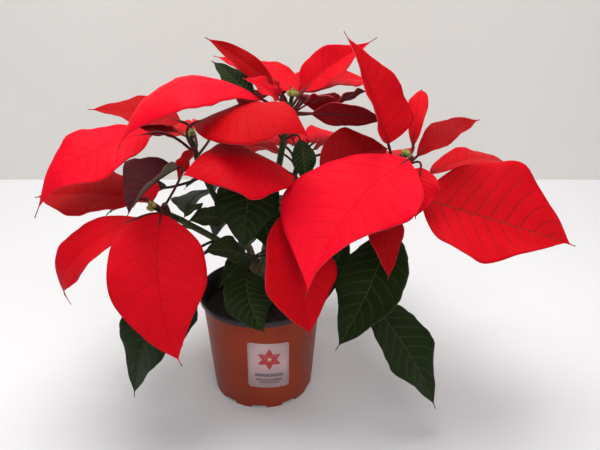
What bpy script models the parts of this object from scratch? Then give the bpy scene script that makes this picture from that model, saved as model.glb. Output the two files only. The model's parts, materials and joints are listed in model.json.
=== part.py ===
# Poinsettia in a plastic nursery pot: six flower heads of red bracts on leafy green shoots that
# fork from one woody stem, standing in peat. Millimetres in the tables, metres in the scene.
# The origin is the middle of the pot's foot, +Z is up and the plant's best side faces -Y.

import math

import bmesh
import bpy
import numpy as np
from mathutils import Vector

MM = 0.001
GAP = 0.3

POT_HEIGHT = 106.0
POT_RIM_RADIUS = 60.0
POT_FOOT_RADIUS = 48.3
POT_NECK_RADIUS = 56.2
POT_LIP_HEIGHT = 6.0
POT_WALL = 1.6
POT_FLOOR = 3.0
POT_SIDES = 36
DRAIN_COUNT = 10
DRAIN_START = math.radians(-93)
DRAIN_WIDTH = 15.0
DRAIN_HEIGHT = 3.5
DRAIN_REACH = 16.0

SOIL_TOP = 88.0
STEM_RADIUS = 5.5
STEM_DEPTH = 34.0
FORK_HEIGHT = 128.0
FORK_RADIUS = 3.4
SHOOT_RADIUS = 2.9
STUB_RADIUS = 2.7
STUB_LENGTH = 22.0
ROOTS_BELOW_HUB = 9.0
ROOTS_ABOVE_STUB_END = 3.0

BLADE_THICKNESS = 0.8
SHORT_BLADE = 45.0
LONG_BLADE = 100.0
NARROW_BLADE = 31.0
PETIOLE_RADIUS = 1.3
PETIOLE_OVERLAP = 4.0
ROWS_TOWARDS_ENDS = 0.045
BODY_END = 0.92
TAIL_WIDTH = 0.06
HOOK_FROM = 0.78
BASE_HALF_WIDTH = 1.1
TIP_HALF_WIDTH = 0.5
NORMAL_LEAN = 0.35
LOBE_COUNT = 2.5
TOOTH_COUNT = 3.5
TOOTH_DEPTH = 0.035
WAVE_COUNT = 2.2

BUD_RADIUS = 2.5
BUD_COUNT = 5
BUD_SPREAD = 2.7
BUD_STALK = 7.0
BUD_STALK_RADIUS = 1.8

# A head is where its bracts meet, and the green shoot below it runs from "foot", where it leaves
# the woody fork, through "bend" to the head.
HEADS = {
    "centre": dict(hub=(29, 16, 284), foot=(5, 4, 152), bend=(16, 14, 215)),
    "right": dict(hub=(122, -24, 244), foot=(24, -8, 148), bend=(78, -30, 190)),
    "upper_left": dict(hub=(-58, 10, 250), foot=(-14, 8, 150), bend=(-42, 12, 198)),
    "lower_left": dict(hub=(-82, -42, 208), foot=(-15, -9, 147), bend=(-52, -20, 178)),
    "front": dict(hub=(43, -36, 224), foot=(9, -16, 147), bend=(25, -30, 184)),
    "back": dict(hub=(38, 84, 212), foot=(8, 18, 146), bend=(24, 56, 176)),
}


def leaf(base, tip, width, bow=8, roll=0, fold=6, curl=0, twist=0, sweep=0, wave=2.0, lobes=0.03,
         widest=0.42, skew=0, hook=(0, 0, 0), root=None):
    """One blade: base and tip of its midrib, its width, how far the midrib arches up (bow) and
    sideways (sweep), the turn about its length (roll), the V of its two halves (fold), how its
    halves curl up or down towards the edge (curl), the turn from base to tip (twist), the share
    of its length where it is widest, how far one half is widest nearer the tip than the other
    (skew), and how far its drawn-out tip bends away (hook).
    A green leaf's stalk leaves its shoot at the share `root` of the way up."""
    return dict(base=base, tip=tip, width=width, bow=bow, roll=roll, fold=fold, curl=curl,
                twist=twist, sweep=sweep, wave=wave, lobes=lobes, widest=widest, skew=skew,
                hook=hook, root=root)


BRACTS = {
    "centre": [
        leaf((17, 22, 292), (-45, 35, 336), 19, bow=2, roll=-48, fold=14, sweep=3, widest=0.5),
        leaf((35, 30, 290), (-44, 80, 310), 46, bow=4, roll=-6, widest=0.28),
        leaf((19, 8, 289), (-11, 2, 309), 25, bow=3, roll=-20),
        leaf((21, 9, 293), (13, 14, 306), 7, bow=1),
        leaf((40, 26, 291), (100, 60, 325), 38, bow=2, roll=32, fold=24, sweep=-4, widest=0.36,
             hook=(6, 0, 6)),
        leaf((25, 38, 288), (118, 92, 278), 46, bow=10, roll=10, widest=0.4),
        leaf((42, 8, 284), (65, -10, 296), 14, bow=3, roll=-30),
        leaf((5, 4, 290), (-108, -50, 272), 66, bow=33, roll=-6, curl=-24, fold=-4, widest=0.58,
             hook=(0, 0, -7)),
        leaf((47, 0, 279), (112, -9, 275), 25, bow=4, roll=-70, fold=-6),
        leaf((66, 12, 281), (98, 36, 289), 24, bow=2, roll=-45),
        leaf((20, 42, 284), (-22, 122, 240), 52, bow=12),
        leaf((44, 44, 280), (62, 126, 230), 50, bow=12),
    ],
    "right": [
        leaf((111, -20, 259), (73, 10, 346), 56, bow=5, roll=-6, fold=31, widest=0.22),
        leaf((134, -8, 252), (147, 44, 288), 17, bow=12, widest=0.62),
        leaf((136, -22, 249), (189, -8, 276), 33, bow=7, roll=10, widest=0.5),
        leaf((152, 2, 223), (247, 56, 203), 38, bow=15, roll=6, widest=0.5),
        leaf((139, -38, 217), (267, -60, 183), 107, bow=2, roll=33, fold=16, lobes=0.05,
             widest=0.43, skew=-0.07),
        leaf((136, -42, 246), (131, -62, 209), 34, bow=4),
        leaf((125, -44, 254), (47, -116, 177), 109, bow=5, roll=-8, fold=8, twist=-10, sweep=13,
             widest=0.4, skew=0.14, hook=(-7, -4, -7)),
        leaf((101, -46, 224), (111, -72, 157), 32, bow=5, roll=-4),
        leaf((118, 4, 238), (122, 86, 192), 50, bow=12),
    ],
    "upper_left": [
        leaf((-50, -20, 277), (46, -64, 287), 71, bow=13, roll=14, fold=-8, curl=-16, twist=10,
             widest=0.55, hook=(2, 0, -13)),
        leaf((-91, -5, 263), (-176, -58, 230), 55, bow=14, roll=-26, fold=-4, widest=0.55,
             hook=(-5, 0, -22)),
        leaf((-70, 30, 250), (-112, 14, 260), 30, bow=4, roll=-10),
        leaf((-72, 38, 260), (-152, 28, 274), 50, bow=4, roll=-12, widest=0.36),
        leaf((-57, 0, 246), (-69, -12, 221), 18, bow=3),
        leaf((-64, 36, 248), (-130, 88, 212), 54, bow=12),
        leaf((-44, 36, 248), (-44, 104, 222), 44, bow=12),
    ],
    "lower_left": [
        leaf((-98, -35, 215), (-196, -14, 207), 60, bow=6, roll=-18, widest=0.5),
        leaf((-96, -58, 208), (-165, -79, 143), 42, bow=20, roll=-24, widest=0.6, hook=(10, 0, -5)),
        leaf((-75, -66, 216), (-60, -112, 99), 80, bow=12, fold=6, sweep=11, widest=0.35),
        leaf((-92, -22, 206), (-156, 42, 180), 54, bow=14),
    ],
    "front": [
        leaf((32, -34, 236), (-57, -78, 252), 70, bow=17, roll=-20, fold=-8, curl=-14, twist=-14,
             widest=0.5),
        leaf((25, -50, 209), (46, -84, 108), 66, bow=8, sweep=3, widest=0.5),
        leaf((54, -21, 237), (116, 2, 247), 53, bow=6, roll=46),
    ],
    "back": [
        leaf((50, 102, 216), (98, 180, 178), 54, bow=16),
        leaf((36, 106, 210), (28, 192, 180), 54, bow=16),
        leaf((22, 98, 214), (-34, 162, 184), 48, bow=14),
        leaf((60, 88, 210), (148, 118, 182), 54, bow=14),
        leaf((30, 96, 222), (12, 120, 236), 24, bow=4),
        leaf((50, 84, 216), (94, 76, 226), 28, bow=6),
        leaf((18, 80, 214), (-44, 74, 212), 44, bow=10),
    ],
}

PURPLE_LEAF = leaf((-63, -52, 249), (-96, -91, 225), 50, bow=6, roll=2, fold=42)

LEAVES = {
    "centre": [
        leaf((-4, 14, 286), (-40, 34, 316), 28, bow=3, roll=-14, root=0.82),
        leaf((-4, -6, 232), (-11, -55, 175), 56, bow=6, root=0.5),
        leaf((0, 2, 195), (10, -14, 153), 36, bow=3, root=0.3),
        leaf((37, 5, 254), (42, -8, 215), 22, bow=3, root=0.8),
        leaf((-20, 30, 212), (-78, 62, 182), 44, bow=8, root=0.45),
    ],
    "right": [
        leaf((116, -21, 176), (68, -78, 90), 66, bow=8, sweep=-9, root=0.5),
        leaf((101, -45, 118), (157, -92, 37), 64, bow=8, root=0.2),
        leaf((80, -2, 160), (54, -36, 104), 30, bow=4, root=0.34),
        leaf((128, 8, 190), (200, 44, 148), 54, bow=8, root=0.6),
    ],
    "upper_left": [
        leaf((-30, -4, 182), (-64, -10, 182), 24, bow=4, roll=-25, root=0.3),
        leaf((-48, 44, 190), (-86, 96, 136), 50, bow=8, root=0.6),
        leaf((-86, 20, 202), (-150, 22, 168), 46, bow=8, root=0.7),
    ],
    "lower_left": [
        leaf((-78, -46, 142), (-112, -80, 40), 66, bow=8, root=0.3),
        leaf((-60, -30, 143), (-71, -48, 73), 36, bow=5, root=0.15),
        leaf((-51, -12, 200), (-63, -35, 197), 14, bow=2, root=0.7),
        leaf((-92, 6, 168), (-140, 44, 112), 52, bow=8, root=0.5),
    ],
    "front": [
        leaf((-11, -28, 158), (-48, -38, 166), 36, bow=4, roll=-10, root=0.1),
        leaf((-8, -17, 148), (-36, -32, 126), 30, bow=4, root=0.24),
        leaf((-10, -37, 146), (7, -74, 104), 46, bow=5, sweep=7, root=0.12),
        leaf((13, -30, 118), (32, -40, 111), 16, bow=3, root=0.22),
    ],
    "back": [
        leaf((24, 84, 166), (28, 138, 98), 62, bow=8, root=0.3),
        leaf((-10, 66, 168), (-58, 112, 100), 52, bow=8, root=0.4),
        leaf((66, 74, 168), (118, 112, 104), 60, bow=8, root=0.5),
        leaf((4, 60, 146), (-30, 88, 84), 44, bow=6, root=0.12),
    ],
}


def unit(vector):
    return vector / np.linalg.norm(vector)


def outline(share, blade, toothed):
    """Half-width of a blade along its midrib as a share of its widest half-width: round at the
    base, with a thin drawn-out tip, shallow lobes, and blunt teeth on a green leaf."""
    widest = blade["widest"]
    if share > widest:
        away = (share - widest) / (1 - widest)
        body = max(1 - (away / BODY_END) ** 1.7, 0.0) ** 1.15
        width = math.hypot(body, TAIL_WIDTH * (1 - away) ** 0.8)
    else:
        width = (1 - ((widest - share) / widest) ** 2.2) ** 0.75
    width *= 1 + blade["lobes"] * math.sin(2 * math.pi * LOBE_COUNT * share)
    if toothed:
        width *= 1 + TOOTH_DEPTH * math.cos(2 * math.pi * TOOTH_COUNT * share)
    return width


def blade_frame(blade):
    """Direction, side and normal of the straight line from the blade's base to its tip."""
    base = np.array(blade["base"], float)
    span = np.array(blade["tip"], float) - base
    length = np.linalg.norm(span)
    along = span / length
    up = np.array((NORMAL_LEAN * along[0], NORMAL_LEAN * along[1], 1.0))
    normal = unit(up - along * (up @ along))
    side = np.cross(along, normal)
    turn = math.radians(blade["roll"])
    normal, side = (normal * math.cos(turn) + side * math.sin(turn),
                    side * math.cos(turn) - normal * math.sin(turn))
    return base, length, along, side, normal


def midrib(blade, share):
    base, length, along, side, normal = blade_frame(blade)
    arch = 4 * share * (1 - share)
    hook = np.array(blade["hook"], float) * (max(share - HOOK_FROM, 0.0) / (1 - HOOK_FROM)) ** 2
    aside = normal * blade["bow"] * arch + side * blade["sweep"] * arch
    return base + along * length * share + aside + hook


def blade_point(blade, share, across, toothed=False):
    """A point of the blade: share runs 0 to 1 from base to tip, across -1 to 1 over its width."""
    length, side, normal = (blade_frame(blade)[i] for i in (1, 3, 4))
    centre = midrib(blade, share)
    ahead = unit(midrib(blade, min(share + 0.02, 1.0)) - midrib(blade, max(share - 0.02, 0.0)))
    up = unit(np.cross(side, ahead))
    out = np.cross(ahead, up)
    turn = math.radians(blade["twist"]) * (share - 0.4)
    up, out = (up * math.cos(turn) + out * math.sin(turn),
               out * math.cos(turn) - up * math.sin(turn))
    hand = math.copysign(1.0, across)
    shape = outline(share - blade["skew"] * hand * 4 * share * (1 - share), blade, toothed)
    half = max(blade["width"] / 2 * shape, BASE_HALF_WIDTH if share < 0.5 else TIP_HALF_WIDTH)
    fold = math.radians(blade["fold"])
    curl = math.radians(blade["curl"]) + 0.001
    reach = abs(across)
    flat = half / curl * (math.sin(fold + curl * reach) - math.sin(fold))
    rise = half / curl * (math.cos(fold) - math.cos(fold + curl * reach))
    ripple = math.sin(2 * math.pi * (WAVE_COUNT * share + 0.25 * hand) + length)
    rise += blade["wave"] * ripple * reach ** 2 * shape
    return centre + out * flat * hand + up * rise


def curve_between(start, middle, end, count):
    """Points on a smooth arc that leaves start, bends towards middle and reaches end."""
    shares = np.linspace(0, 1, count)[:, None]
    return (1 - shares) ** 2 * start + 2 * shares * (1 - shares) * middle + shares ** 2 * end


def shoot_point(head, share):
    foot, bend, hub = (np.array(HEADS[head][key], float) for key in ("foot", "bend", "hub"))
    control = 2 * bend - (foot + hub) / 2
    return (1 - share) ** 2 * foot + 2 * share * (1 - share) * control + share ** 2 * hub


def shoot_axis(head):
    """Direction in which the shoot arrives at its head."""
    return unit(shoot_point(head, 1.0) - shoot_point(head, 0.96))


def shoot_start(head):
    """Direction in which the shoot leaves its fork."""
    return unit(shoot_point(head, 0.06) - shoot_point(head, 0.0))


def stalk_points(root, blade):
    """A stalk from its root on the stem, up and outward, a little way into the blade's base."""
    base, length = blade_frame(blade)[:2]
    into = midrib(blade, PETIOLE_OVERLAP / length)
    rib = unit(midrib(blade, 0.03) - base)
    reach = np.linalg.norm(base - root)
    knee = base - rib * 0.45 * reach + np.array((0, 0, 0.05 * reach))
    arc = curve_between(root, knee, base, 4)
    return np.vstack([arc[:3], into])


def stalk_radii(points):
    return [PETIOLE_RADIUS] * (len(points) - 1) + [PETIOLE_RADIUS * 0.85]


def material(name, colour, roughness):
    surface = bpy.data.materials.new(name)
    surface.use_nodes = True
    shader = surface.node_tree.nodes["Principled BSDF"]
    shader.inputs["Base Color"].default_value = (*colour, 1.0)
    shader.inputs["Roughness"].default_value = roughness
    return surface


def add_object(name, mesh, collection, surface=None):
    made = bpy.data.objects.new(name, mesh)
    collection.objects.link(made)
    if surface is not None:
        mesh.materials.clear()
        mesh.materials.append(surface)
    return made


def mesh_from(build, name):
    """A mesh filled by a function that works on a bmesh, in millimetres, scaled to metres."""
    shape = bmesh.new()
    build(shape)
    bmesh.ops.scale(shape, vec=Vector((MM, MM, MM)), verts=shape.verts)
    mesh = bpy.data.meshes.new(name)
    shape.to_mesh(mesh)
    shape.free()
    return mesh


def evaluated_mesh(source):
    graph = bpy.context.evaluated_depsgraph_get()
    return bpy.data.meshes.new_from_object(source.evaluated_get(graph))


def apply_modifiers(source):
    mesh = evaluated_mesh(source)
    old = source.data
    source.modifiers.clear()
    source.data = mesh
    if old.users == 0:
        bpy.data.meshes.remove(old)


def tube(name, points, radii, collection, rounds=1):
    """A closed tube along the points: a bevelled poly curve turned into a mesh."""
    curve = bpy.data.curves.new(name, "CURVE")
    curve.dimensions = "3D"
    curve.bevel_depth = 1.0 * MM
    curve.bevel_resolution = rounds
    curve.use_fill_caps = True
    run = curve.splines.new("POLY")
    run.points.add(len(points) - 1)
    for point, place, radius in zip(run.points, points, radii):
        point.co = (*(np.array(place) * MM), 1.0)
        point.radius = radius
    guide = bpy.data.objects.new(name + "_guide", curve)
    collection.objects.link(guide)
    bpy.context.view_layer.update()
    mesh = evaluated_mesh(guide)
    bpy.data.objects.remove(guide)
    shape = bmesh.new()
    shape.from_mesh(mesh)
    bmesh.ops.remove_doubles(shape, verts=shape.verts, dist=0.00002)
    bmesh.ops.recalc_face_normals(shape, faces=shape.faces)
    shape.to_mesh(mesh)
    shape.free()
    return add_object(name, mesh, collection)


def blade_cells(blade):
    """Rows along and across a blade, fewer on a small or narrow one."""
    size = np.linalg.norm(np.subtract(blade["tip"], blade["base"]))
    if size < SHORT_BLADE:
        return 3, 2
    return 6 if size > LONG_BLADE else 5, 2 if blade["width"] < NARROW_BLADE else 4


def blade_object(name, blade, collection, toothed=False):
    """A thin solid blade: a grid laid on the blade's form, cut into triangles and thickened."""
    rows, columns = blade_cells(blade)

    def build(shape):
        bmesh.ops.create_grid(shape, x_segments=rows, y_segments=columns, size=1.0)
        for vert in shape.verts:
            even, across = (vert.co.x + 1) / 2, vert.co.y
            share = even - ROWS_TOWARDS_ENDS * math.sin(2 * math.pi * even)
            vert.co = blade_point(blade, share, -across, toothed)
        bmesh.ops.triangulate(shape, faces=shape.faces)

    made = add_object(name, mesh_from(build, name), collection)
    shell = made.modifiers.new("thickness", "SOLIDIFY")
    shell.thickness = BLADE_THICKNESS * MM
    shell.offset = 0.0
    apply_modifiers(made)
    return made


def join(body, pieces):
    """Fuses a collection's objects with a body, then removes them."""
    fuse = body.modifiers.new("fuse", "BOOLEAN")
    fuse.operation = "UNION"
    fuse.operand_type = "COLLECTION"
    fuse.collection = pieces
    fuse.solver = "MANIFOLD"
    apply_modifiers(body)
    shape = bmesh.new()
    shape.from_mesh(body.data)
    bmesh.ops.dissolve_degenerate(shape, edges=shape.edges, dist=0.000002)
    bmesh.ops.triangulate(shape, faces=shape.faces)
    shape.to_mesh(body.data)
    shape.free()
    for piece in list(pieces.objects):
        bpy.data.objects.remove(piece)
    bpy.data.collections.remove(pieces)
    return body


def piece_collection(name):
    pieces = bpy.data.collections.new(name)
    bpy.context.scene.collection.children.link(pieces)
    return pieces


def bract_roots(head, count):
    """Places on the head's axis from which its stalks leave, in turn down the stub."""
    top = np.array(HEADS[head]["hub"], float) - shoot_axis(head) * ROOTS_BELOW_HUB
    run = shoot_axis(head) * (STUB_LENGTH - ROOTS_BELOW_HUB - ROOTS_ABOVE_STUB_END)
    return [top - run * ((3 * i) % count) / count for i in range(count)]


def purple_stalk_points():
    """The purple leaf's stalk runs up beside its head's stub, a gap away, and over to the leaf."""
    hub = np.array(HEADS["lower_left"]["hub"], float)
    axis = shoot_axis("lower_left")
    outward = np.array(PURPLE_LEAF["base"], float) - hub
    outward = unit(outward - axis * (outward @ axis))
    beside = hub + outward * (STUB_RADIUS + PETIOLE_RADIUS + GAP)
    return np.vstack([beside - axis * 6, stalk_points(beside - axis * 2, PURPLE_LEAF)])


def add_bracts(head, plant, surface):
    hub = np.array(HEADS[head]["hub"], float)
    axis = shoot_axis(head)
    body = tube("bracts_" + head, [hub - axis * STUB_LENGTH, hub], [STUB_RADIUS] * 2, plant,
                rounds=2)
    body.data.materials.append(surface)
    pieces = piece_collection("bract pieces " + head)
    roots = bract_roots(head, len(BRACTS[head]))
    for i, (blade, root) in enumerate(zip(BRACTS[head], roots)):
        blade_object(f"{head} bract {i}", blade, pieces)
        points = stalk_points(root, blade)
        tube(f"{head} stalk {i}", points, stalk_radii(points), pieces)
    return join(body, pieces)


def add_purple_leaf(plant, surface):
    points = purple_stalk_points()
    body = tube("purple_leaf", points, stalk_radii(points), plant)
    body.data.materials.append(surface)
    pieces = piece_collection("purple blade")
    blade_object("purple blade", PURPLE_LEAF, pieces)
    return join(body, pieces)


def add_shoot(head, plant, surface):
    """Green shoot from its woody fork to just under the head, with its leaves."""
    hub = np.array(HEADS[head]["hub"], float)
    below = hub - shoot_axis(head) * (STUB_LENGTH + GAP)
    foot = shoot_point(head, 0.0)
    start = shoot_start(head)
    top = 1 - (STUB_LENGTH + 12) / np.linalg.norm(hub - foot)
    middle = [shoot_point(head, share) for share in np.linspace(0.12, top, 4)]
    points = [foot + start * GAP, foot + start * 4, *middle, below - shoot_axis(head) * 5, below]
    body = tube("shoot_" + head, points, [SHOOT_RADIUS] * len(points), plant, rounds=2)
    body.data.materials.append(surface)
    pieces = piece_collection("leaf pieces " + head)
    for i, blade in enumerate(LEAVES[head]):
        blade_object(f"{head} leaf {i}", blade, pieces, toothed=True)
        stalk = stalk_points(shoot_point(head, min(blade["root"], top)), blade)
        tube(f"{head} leaf stalk {i}", stalk, stalk_radii(stalk), pieces)
    return join(body, pieces)


def bud_stalk(shape):
    bmesh.ops.create_cone(shape, cap_ends=True, segments=6, radius1=BUD_STALK_RADIUS,
                          radius2=BUD_STALK_RADIUS, depth=BUD_STALK)
    bmesh.ops.translate(shape, vec=(0, 0, BUD_STALK / 2 + GAP), verts=shape.verts)


def bud(shape, i):
    """The last bud stands in the middle, the others in a ring round it."""
    angle = 2 * math.pi * i / (BUD_COUNT - 1)
    spread = 0.0 if i == BUD_COUNT - 1 else BUD_SPREAD
    height = BUD_STALK + 1.8 + 0.7 * math.sin(2.4 * i)
    bmesh.ops.create_uvsphere(shape, u_segments=5, v_segments=4, radius=BUD_RADIUS)
    bmesh.ops.scale(shape, vec=(0.8, 0.8, 1.15), verts=shape.verts)
    bmesh.ops.translate(shape, vec=(spread * math.cos(angle), spread * math.sin(angle), height),
                        verts=shape.verts)


def add_cyathia(head, plant, surface):
    """The cluster of small yellow-green buds at the middle of a head."""
    hub = Vector(HEADS[head]["hub"])
    tilt = Vector((0, 0, 1)).rotation_difference(Vector(shoot_axis(head))).to_matrix()

    def stood_on_head(shape, build, *details):
        build(shape, *details)
        bmesh.ops.rotate(shape, cent=(0, 0, 0), matrix=tilt, verts=shape.verts)
        bmesh.ops.translate(shape, vec=hub, verts=shape.verts)

    name = "cyathia_" + head
    body = add_object(name, mesh_from(lambda shape: stood_on_head(shape, bud_stalk), name), plant,
                      surface)
    pieces = piece_collection("buds " + head)
    for i in range(BUD_COUNT):
        mesh = mesh_from(lambda shape: stood_on_head(shape, bud, i), "bud")
        add_object(f"{head} bud {i}", mesh, pieces)
    return join(body, pieces)


def add_stem(plant, surface):
    """The woody stem in the peat and its forks, one to each shoot."""
    low = np.array((0, 0, SOIL_TOP - STEM_DEPTH + GAP), float)
    crown = np.array((0, 0, FORK_HEIGHT), float)
    points = [low, (0, 0, SOIL_TOP), (0.5, 0.5, 108), crown]
    radii = [STEM_RADIUS, STEM_RADIUS, STEM_RADIUS * 0.85, STEM_RADIUS * 0.9]
    body = tube("stem", points, radii, plant, rounds=3)
    body.data.materials.append(surface)
    pieces = piece_collection("forks")
    for i, head in enumerate(HEADS):
        foot = np.array(HEADS[head]["foot"], float)
        start = np.array((0, 0, FORK_HEIGHT - 4 - 1.5 * i), float)
        knee = start * 0.45 + foot * 0.55 - np.array((0, 0, 4))
        arc = curve_between(start, knee, foot - shoot_start(head) * 5, 3)
        tube(f"fork {head}", [*arc, foot], [FORK_RADIUS] * 3 + [SHOOT_RADIUS], pieces)
    return join(body, pieces)


def add_profile(name, profile, steps, collection, surface):
    """A turned body: a closed outline of (radius, height) pairs, spun about Z."""
    shape = bmesh.new()
    verts = [shape.verts.new((radius * MM, 0, height * MM)) for radius, height in profile]
    for first, second in zip(verts, verts[1:]):
        shape.edges.new((first, second))
    mesh = bpy.data.meshes.new(name)
    shape.to_mesh(mesh)
    shape.free()
    made = add_object(name, mesh, collection, surface)
    spin = made.modifiers.new("spin", "SCREW")
    spin.steps = steps
    spin.render_steps = steps
    spin.use_merge_vertices = True
    spin.merge_threshold = 0.00005
    apply_modifiers(made)
    return made


def pot_inner_radius(height):
    taper = (POT_NECK_RADIUS - POT_FOOT_RADIUS) / (POT_HEIGHT - POT_LIP_HEIGHT - POT_FLOOR)
    return POT_FOOT_RADIUS - POT_WALL + taper * (height - POT_FLOOR)


def add_pot(collection, cutters, surface):
    """Tapered wall with a thick outward lip, a flat floor and drain slots around the foot."""
    neck = POT_HEIGHT - POT_LIP_HEIGHT
    profile = [
        (0, POT_FLOOR),
        (pot_inner_radius(POT_FLOOR), POT_FLOOR),
        (pot_inner_radius(neck), neck),
        (POT_RIM_RADIUS - 2.2, POT_HEIGHT),
        (POT_RIM_RADIUS - 0.4, POT_HEIGHT),
        (POT_RIM_RADIUS, POT_HEIGHT - 0.8),
        (POT_RIM_RADIUS - 0.4, neck + 0.6),
        (POT_RIM_RADIUS - 1.2, neck),
        (POT_NECK_RADIUS, neck - 1.0),
        (POT_FOOT_RADIUS, 1.5),
        (POT_FOOT_RADIUS - 1.5, 0),
        (0, 0),
    ]
    pot = add_profile("pot", profile, POT_SIDES, collection, surface)
    mesh = mesh_from(lambda shape: bmesh.ops.create_cube(shape, size=1.0), "drain slot")
    for i in range(DRAIN_COUNT):
        angle = DRAIN_START + 2 * math.pi * i / DRAIN_COUNT
        slot = add_object(f"drain slot {i}", mesh, cutters)
        slot.scale = (DRAIN_REACH, DRAIN_WIDTH, 2 * DRAIN_HEIGHT)
        slot.rotation_euler = (0, 0, angle)
        slot.location = Vector((math.cos(angle), math.sin(angle), 0)) * POT_FOOT_RADIUS * MM
        slot.hide_render = True
        slot.display_type = "WIRE"
    cut = pot.modifiers.new("drains", "BOOLEAN")
    cut.operation = "DIFFERENCE"
    cut.operand_type = "COLLECTION"
    cut.collection = cutters
    cut.solver = "EXACT"
    return pot


def add_soil(collection, surface):
    """Peat that fills the pot to well below its rim, with a rough top and a hole for the stem."""
    low = POT_FLOOR + GAP
    low_radius = pot_inner_radius(low) - GAP
    top_radius = pot_inner_radius(SOIL_TOP) - GAP
    hole = STEM_RADIUS + GAP + 0.1
    depth = SOIL_TOP - STEM_DEPTH
    profile = [
        (0, depth),
        (hole, depth),
        (hole, SOIL_TOP),
        (14, SOIL_TOP - 1),
        (26, SOIL_TOP + 1),
        (38, SOIL_TOP - 1),
        (top_radius, SOIL_TOP - 3),
        (low_radius, low),
        (0, low),
    ]
    soil = add_profile("soil", profile, POT_SIDES, collection, surface)
    for vert in soil.data.vertices:
        radius = math.hypot(vert.co.x, vert.co.y) / MM
        if vert.co.z > (SOIL_TOP - 4) * MM and hole + 1 < radius < top_radius - 1:
            angle = math.atan2(vert.co.y, vert.co.x)
            vert.co.z += MM * 1.4 * math.sin(5 * angle + radius) * math.cos(0.3 * radius + 2 * angle)
    return soil


def main():
    for old in list(bpy.data.objects):
        bpy.data.objects.remove(old)
    plant = piece_collection("poinsettia")
    cutters = piece_collection("cutters")
    add_pot(plant, cutters, material("terracotta plastic", (0.42, 0.10, 0.035), 0.45))
    add_soil(plant, material("peat", (0.018, 0.011, 0.007), 0.95))
    add_stem(plant, material("bark", (0.16, 0.12, 0.06), 0.8))
    red = material("red bract", (0.62, 0.008, 0.015), 0.5)
    green = material("green leaf", (0.012, 0.045, 0.012), 0.45)
    yellow = material("yellow bud", (0.55, 0.5, 0.12), 0.5)
    add_purple_leaf(plant, material("purple leaf", (0.06, 0.008, 0.02), 0.45))
    for head in HEADS:
        add_shoot(head, plant, green)
        add_bracts(head, plant, red)
        add_cyathia(head, plant, yellow)


if __name__ == "__main__":
    main()
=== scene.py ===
# Potted poinsettia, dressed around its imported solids: fine blades with veins and relief, buds,
# stalks, shoots, peat with crumbs, a turned pot and its printed label.
# The tables are in millimetres, as in the solids' source, and the meshes are in metres.
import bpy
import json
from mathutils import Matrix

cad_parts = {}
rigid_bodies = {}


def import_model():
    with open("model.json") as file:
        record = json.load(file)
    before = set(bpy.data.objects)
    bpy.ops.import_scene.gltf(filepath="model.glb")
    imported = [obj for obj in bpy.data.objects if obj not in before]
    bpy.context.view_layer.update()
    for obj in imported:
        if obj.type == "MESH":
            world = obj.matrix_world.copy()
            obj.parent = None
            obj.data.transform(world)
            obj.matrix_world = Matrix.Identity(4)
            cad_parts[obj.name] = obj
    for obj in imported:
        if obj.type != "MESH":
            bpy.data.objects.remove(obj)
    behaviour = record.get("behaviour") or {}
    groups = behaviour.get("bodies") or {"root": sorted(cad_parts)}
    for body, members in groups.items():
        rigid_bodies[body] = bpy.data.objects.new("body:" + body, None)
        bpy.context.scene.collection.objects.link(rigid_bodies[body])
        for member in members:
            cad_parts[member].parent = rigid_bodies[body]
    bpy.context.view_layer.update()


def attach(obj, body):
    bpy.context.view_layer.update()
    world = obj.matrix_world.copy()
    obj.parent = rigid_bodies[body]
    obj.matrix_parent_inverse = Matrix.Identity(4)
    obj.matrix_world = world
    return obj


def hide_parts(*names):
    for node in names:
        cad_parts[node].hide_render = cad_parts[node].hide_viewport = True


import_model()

import json
import math
import random

import bmesh
import bpy
import numpy as np
from mathutils import Matrix, Vector

mm = 0.001
scene = bpy.context.scene
scene.view_settings.view_transform = "Standard"  # keeps the photograph's full, plain reds


# Camera, set first: the photograph's viewing angle

view = {
    "place": (0.037, -0.577, 0.456),
    "down": 26.1,  # degrees below level
    "sensor": 36.0,
    "lens": 42.0,
}


def makeCamera(view):
    lens = bpy.data.cameras.new("camera")
    lens.sensor_width = view["sensor"]
    lens.lens = view["lens"]
    camera = bpy.data.objects.new("camera", lens)
    camera.location = view["place"]
    camera.rotation_euler = (math.radians(90 - view["down"]), 0, 0)
    scene.collection.objects.link(camera)
    scene.camera = camera


makeCamera(view)
print("camera placed")


# Small helpers for node trees

def newMaterial(name):
    material = bpy.data.materials.new(name)
    material.use_nodes = True
    tree = material.node_tree
    return material, tree, tree.nodes["Principled BSDF"]


def put(tree, socket, value):
    # A socket takes a link from another socket, or a plain value.
    if isinstance(value, bpy.types.NodeSocket):
        tree.links.new(value, socket)
    else:
        socket.default_value = value


def calc(tree, operation, *values):
    node = tree.nodes.new("ShaderNodeMath")
    node.operation = operation
    for socket, value in zip(node.inputs, values):
        put(tree, socket, value)
    return node.outputs["Value"]


def ramp(tree, value, low, high, fromValue=0.0, toValue=1.0):
    node = tree.nodes.new("ShaderNodeMapRange")
    node.interpolation_type = "SMOOTHSTEP"
    for title, given in (("Value", value), ("From Min", low), ("From Max", high),
                         ("To Min", fromValue), ("To Max", toValue)):
        put(tree, node.inputs[title], given)
    return node.outputs["Result"]


def blendColours(tree, factor, first, second):
    node = tree.nodes.new("ShaderNodeMix")
    node.data_type = "RGBA"
    put(tree, node.inputs["Factor"], factor)
    put(tree, node.inputs[6], (*first, 1) if isinstance(first, tuple) else first)
    put(tree, node.inputs[7], (*second, 1) if isinstance(second, tuple) else second)
    return node.outputs[2]


def attribute(tree, name):
    node = tree.nodes.new("ShaderNodeAttribute")
    node.attribute_name = name
    return node.outputs["Fac"]


def bump(tree, height, strength, distance):
    node = tree.nodes.new("ShaderNodeBump")
    node.inputs["Strength"].default_value = strength
    node.inputs["Distance"].default_value = distance
    tree.links.new(height, node.inputs["Height"])
    return node.outputs["Normal"]


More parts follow.
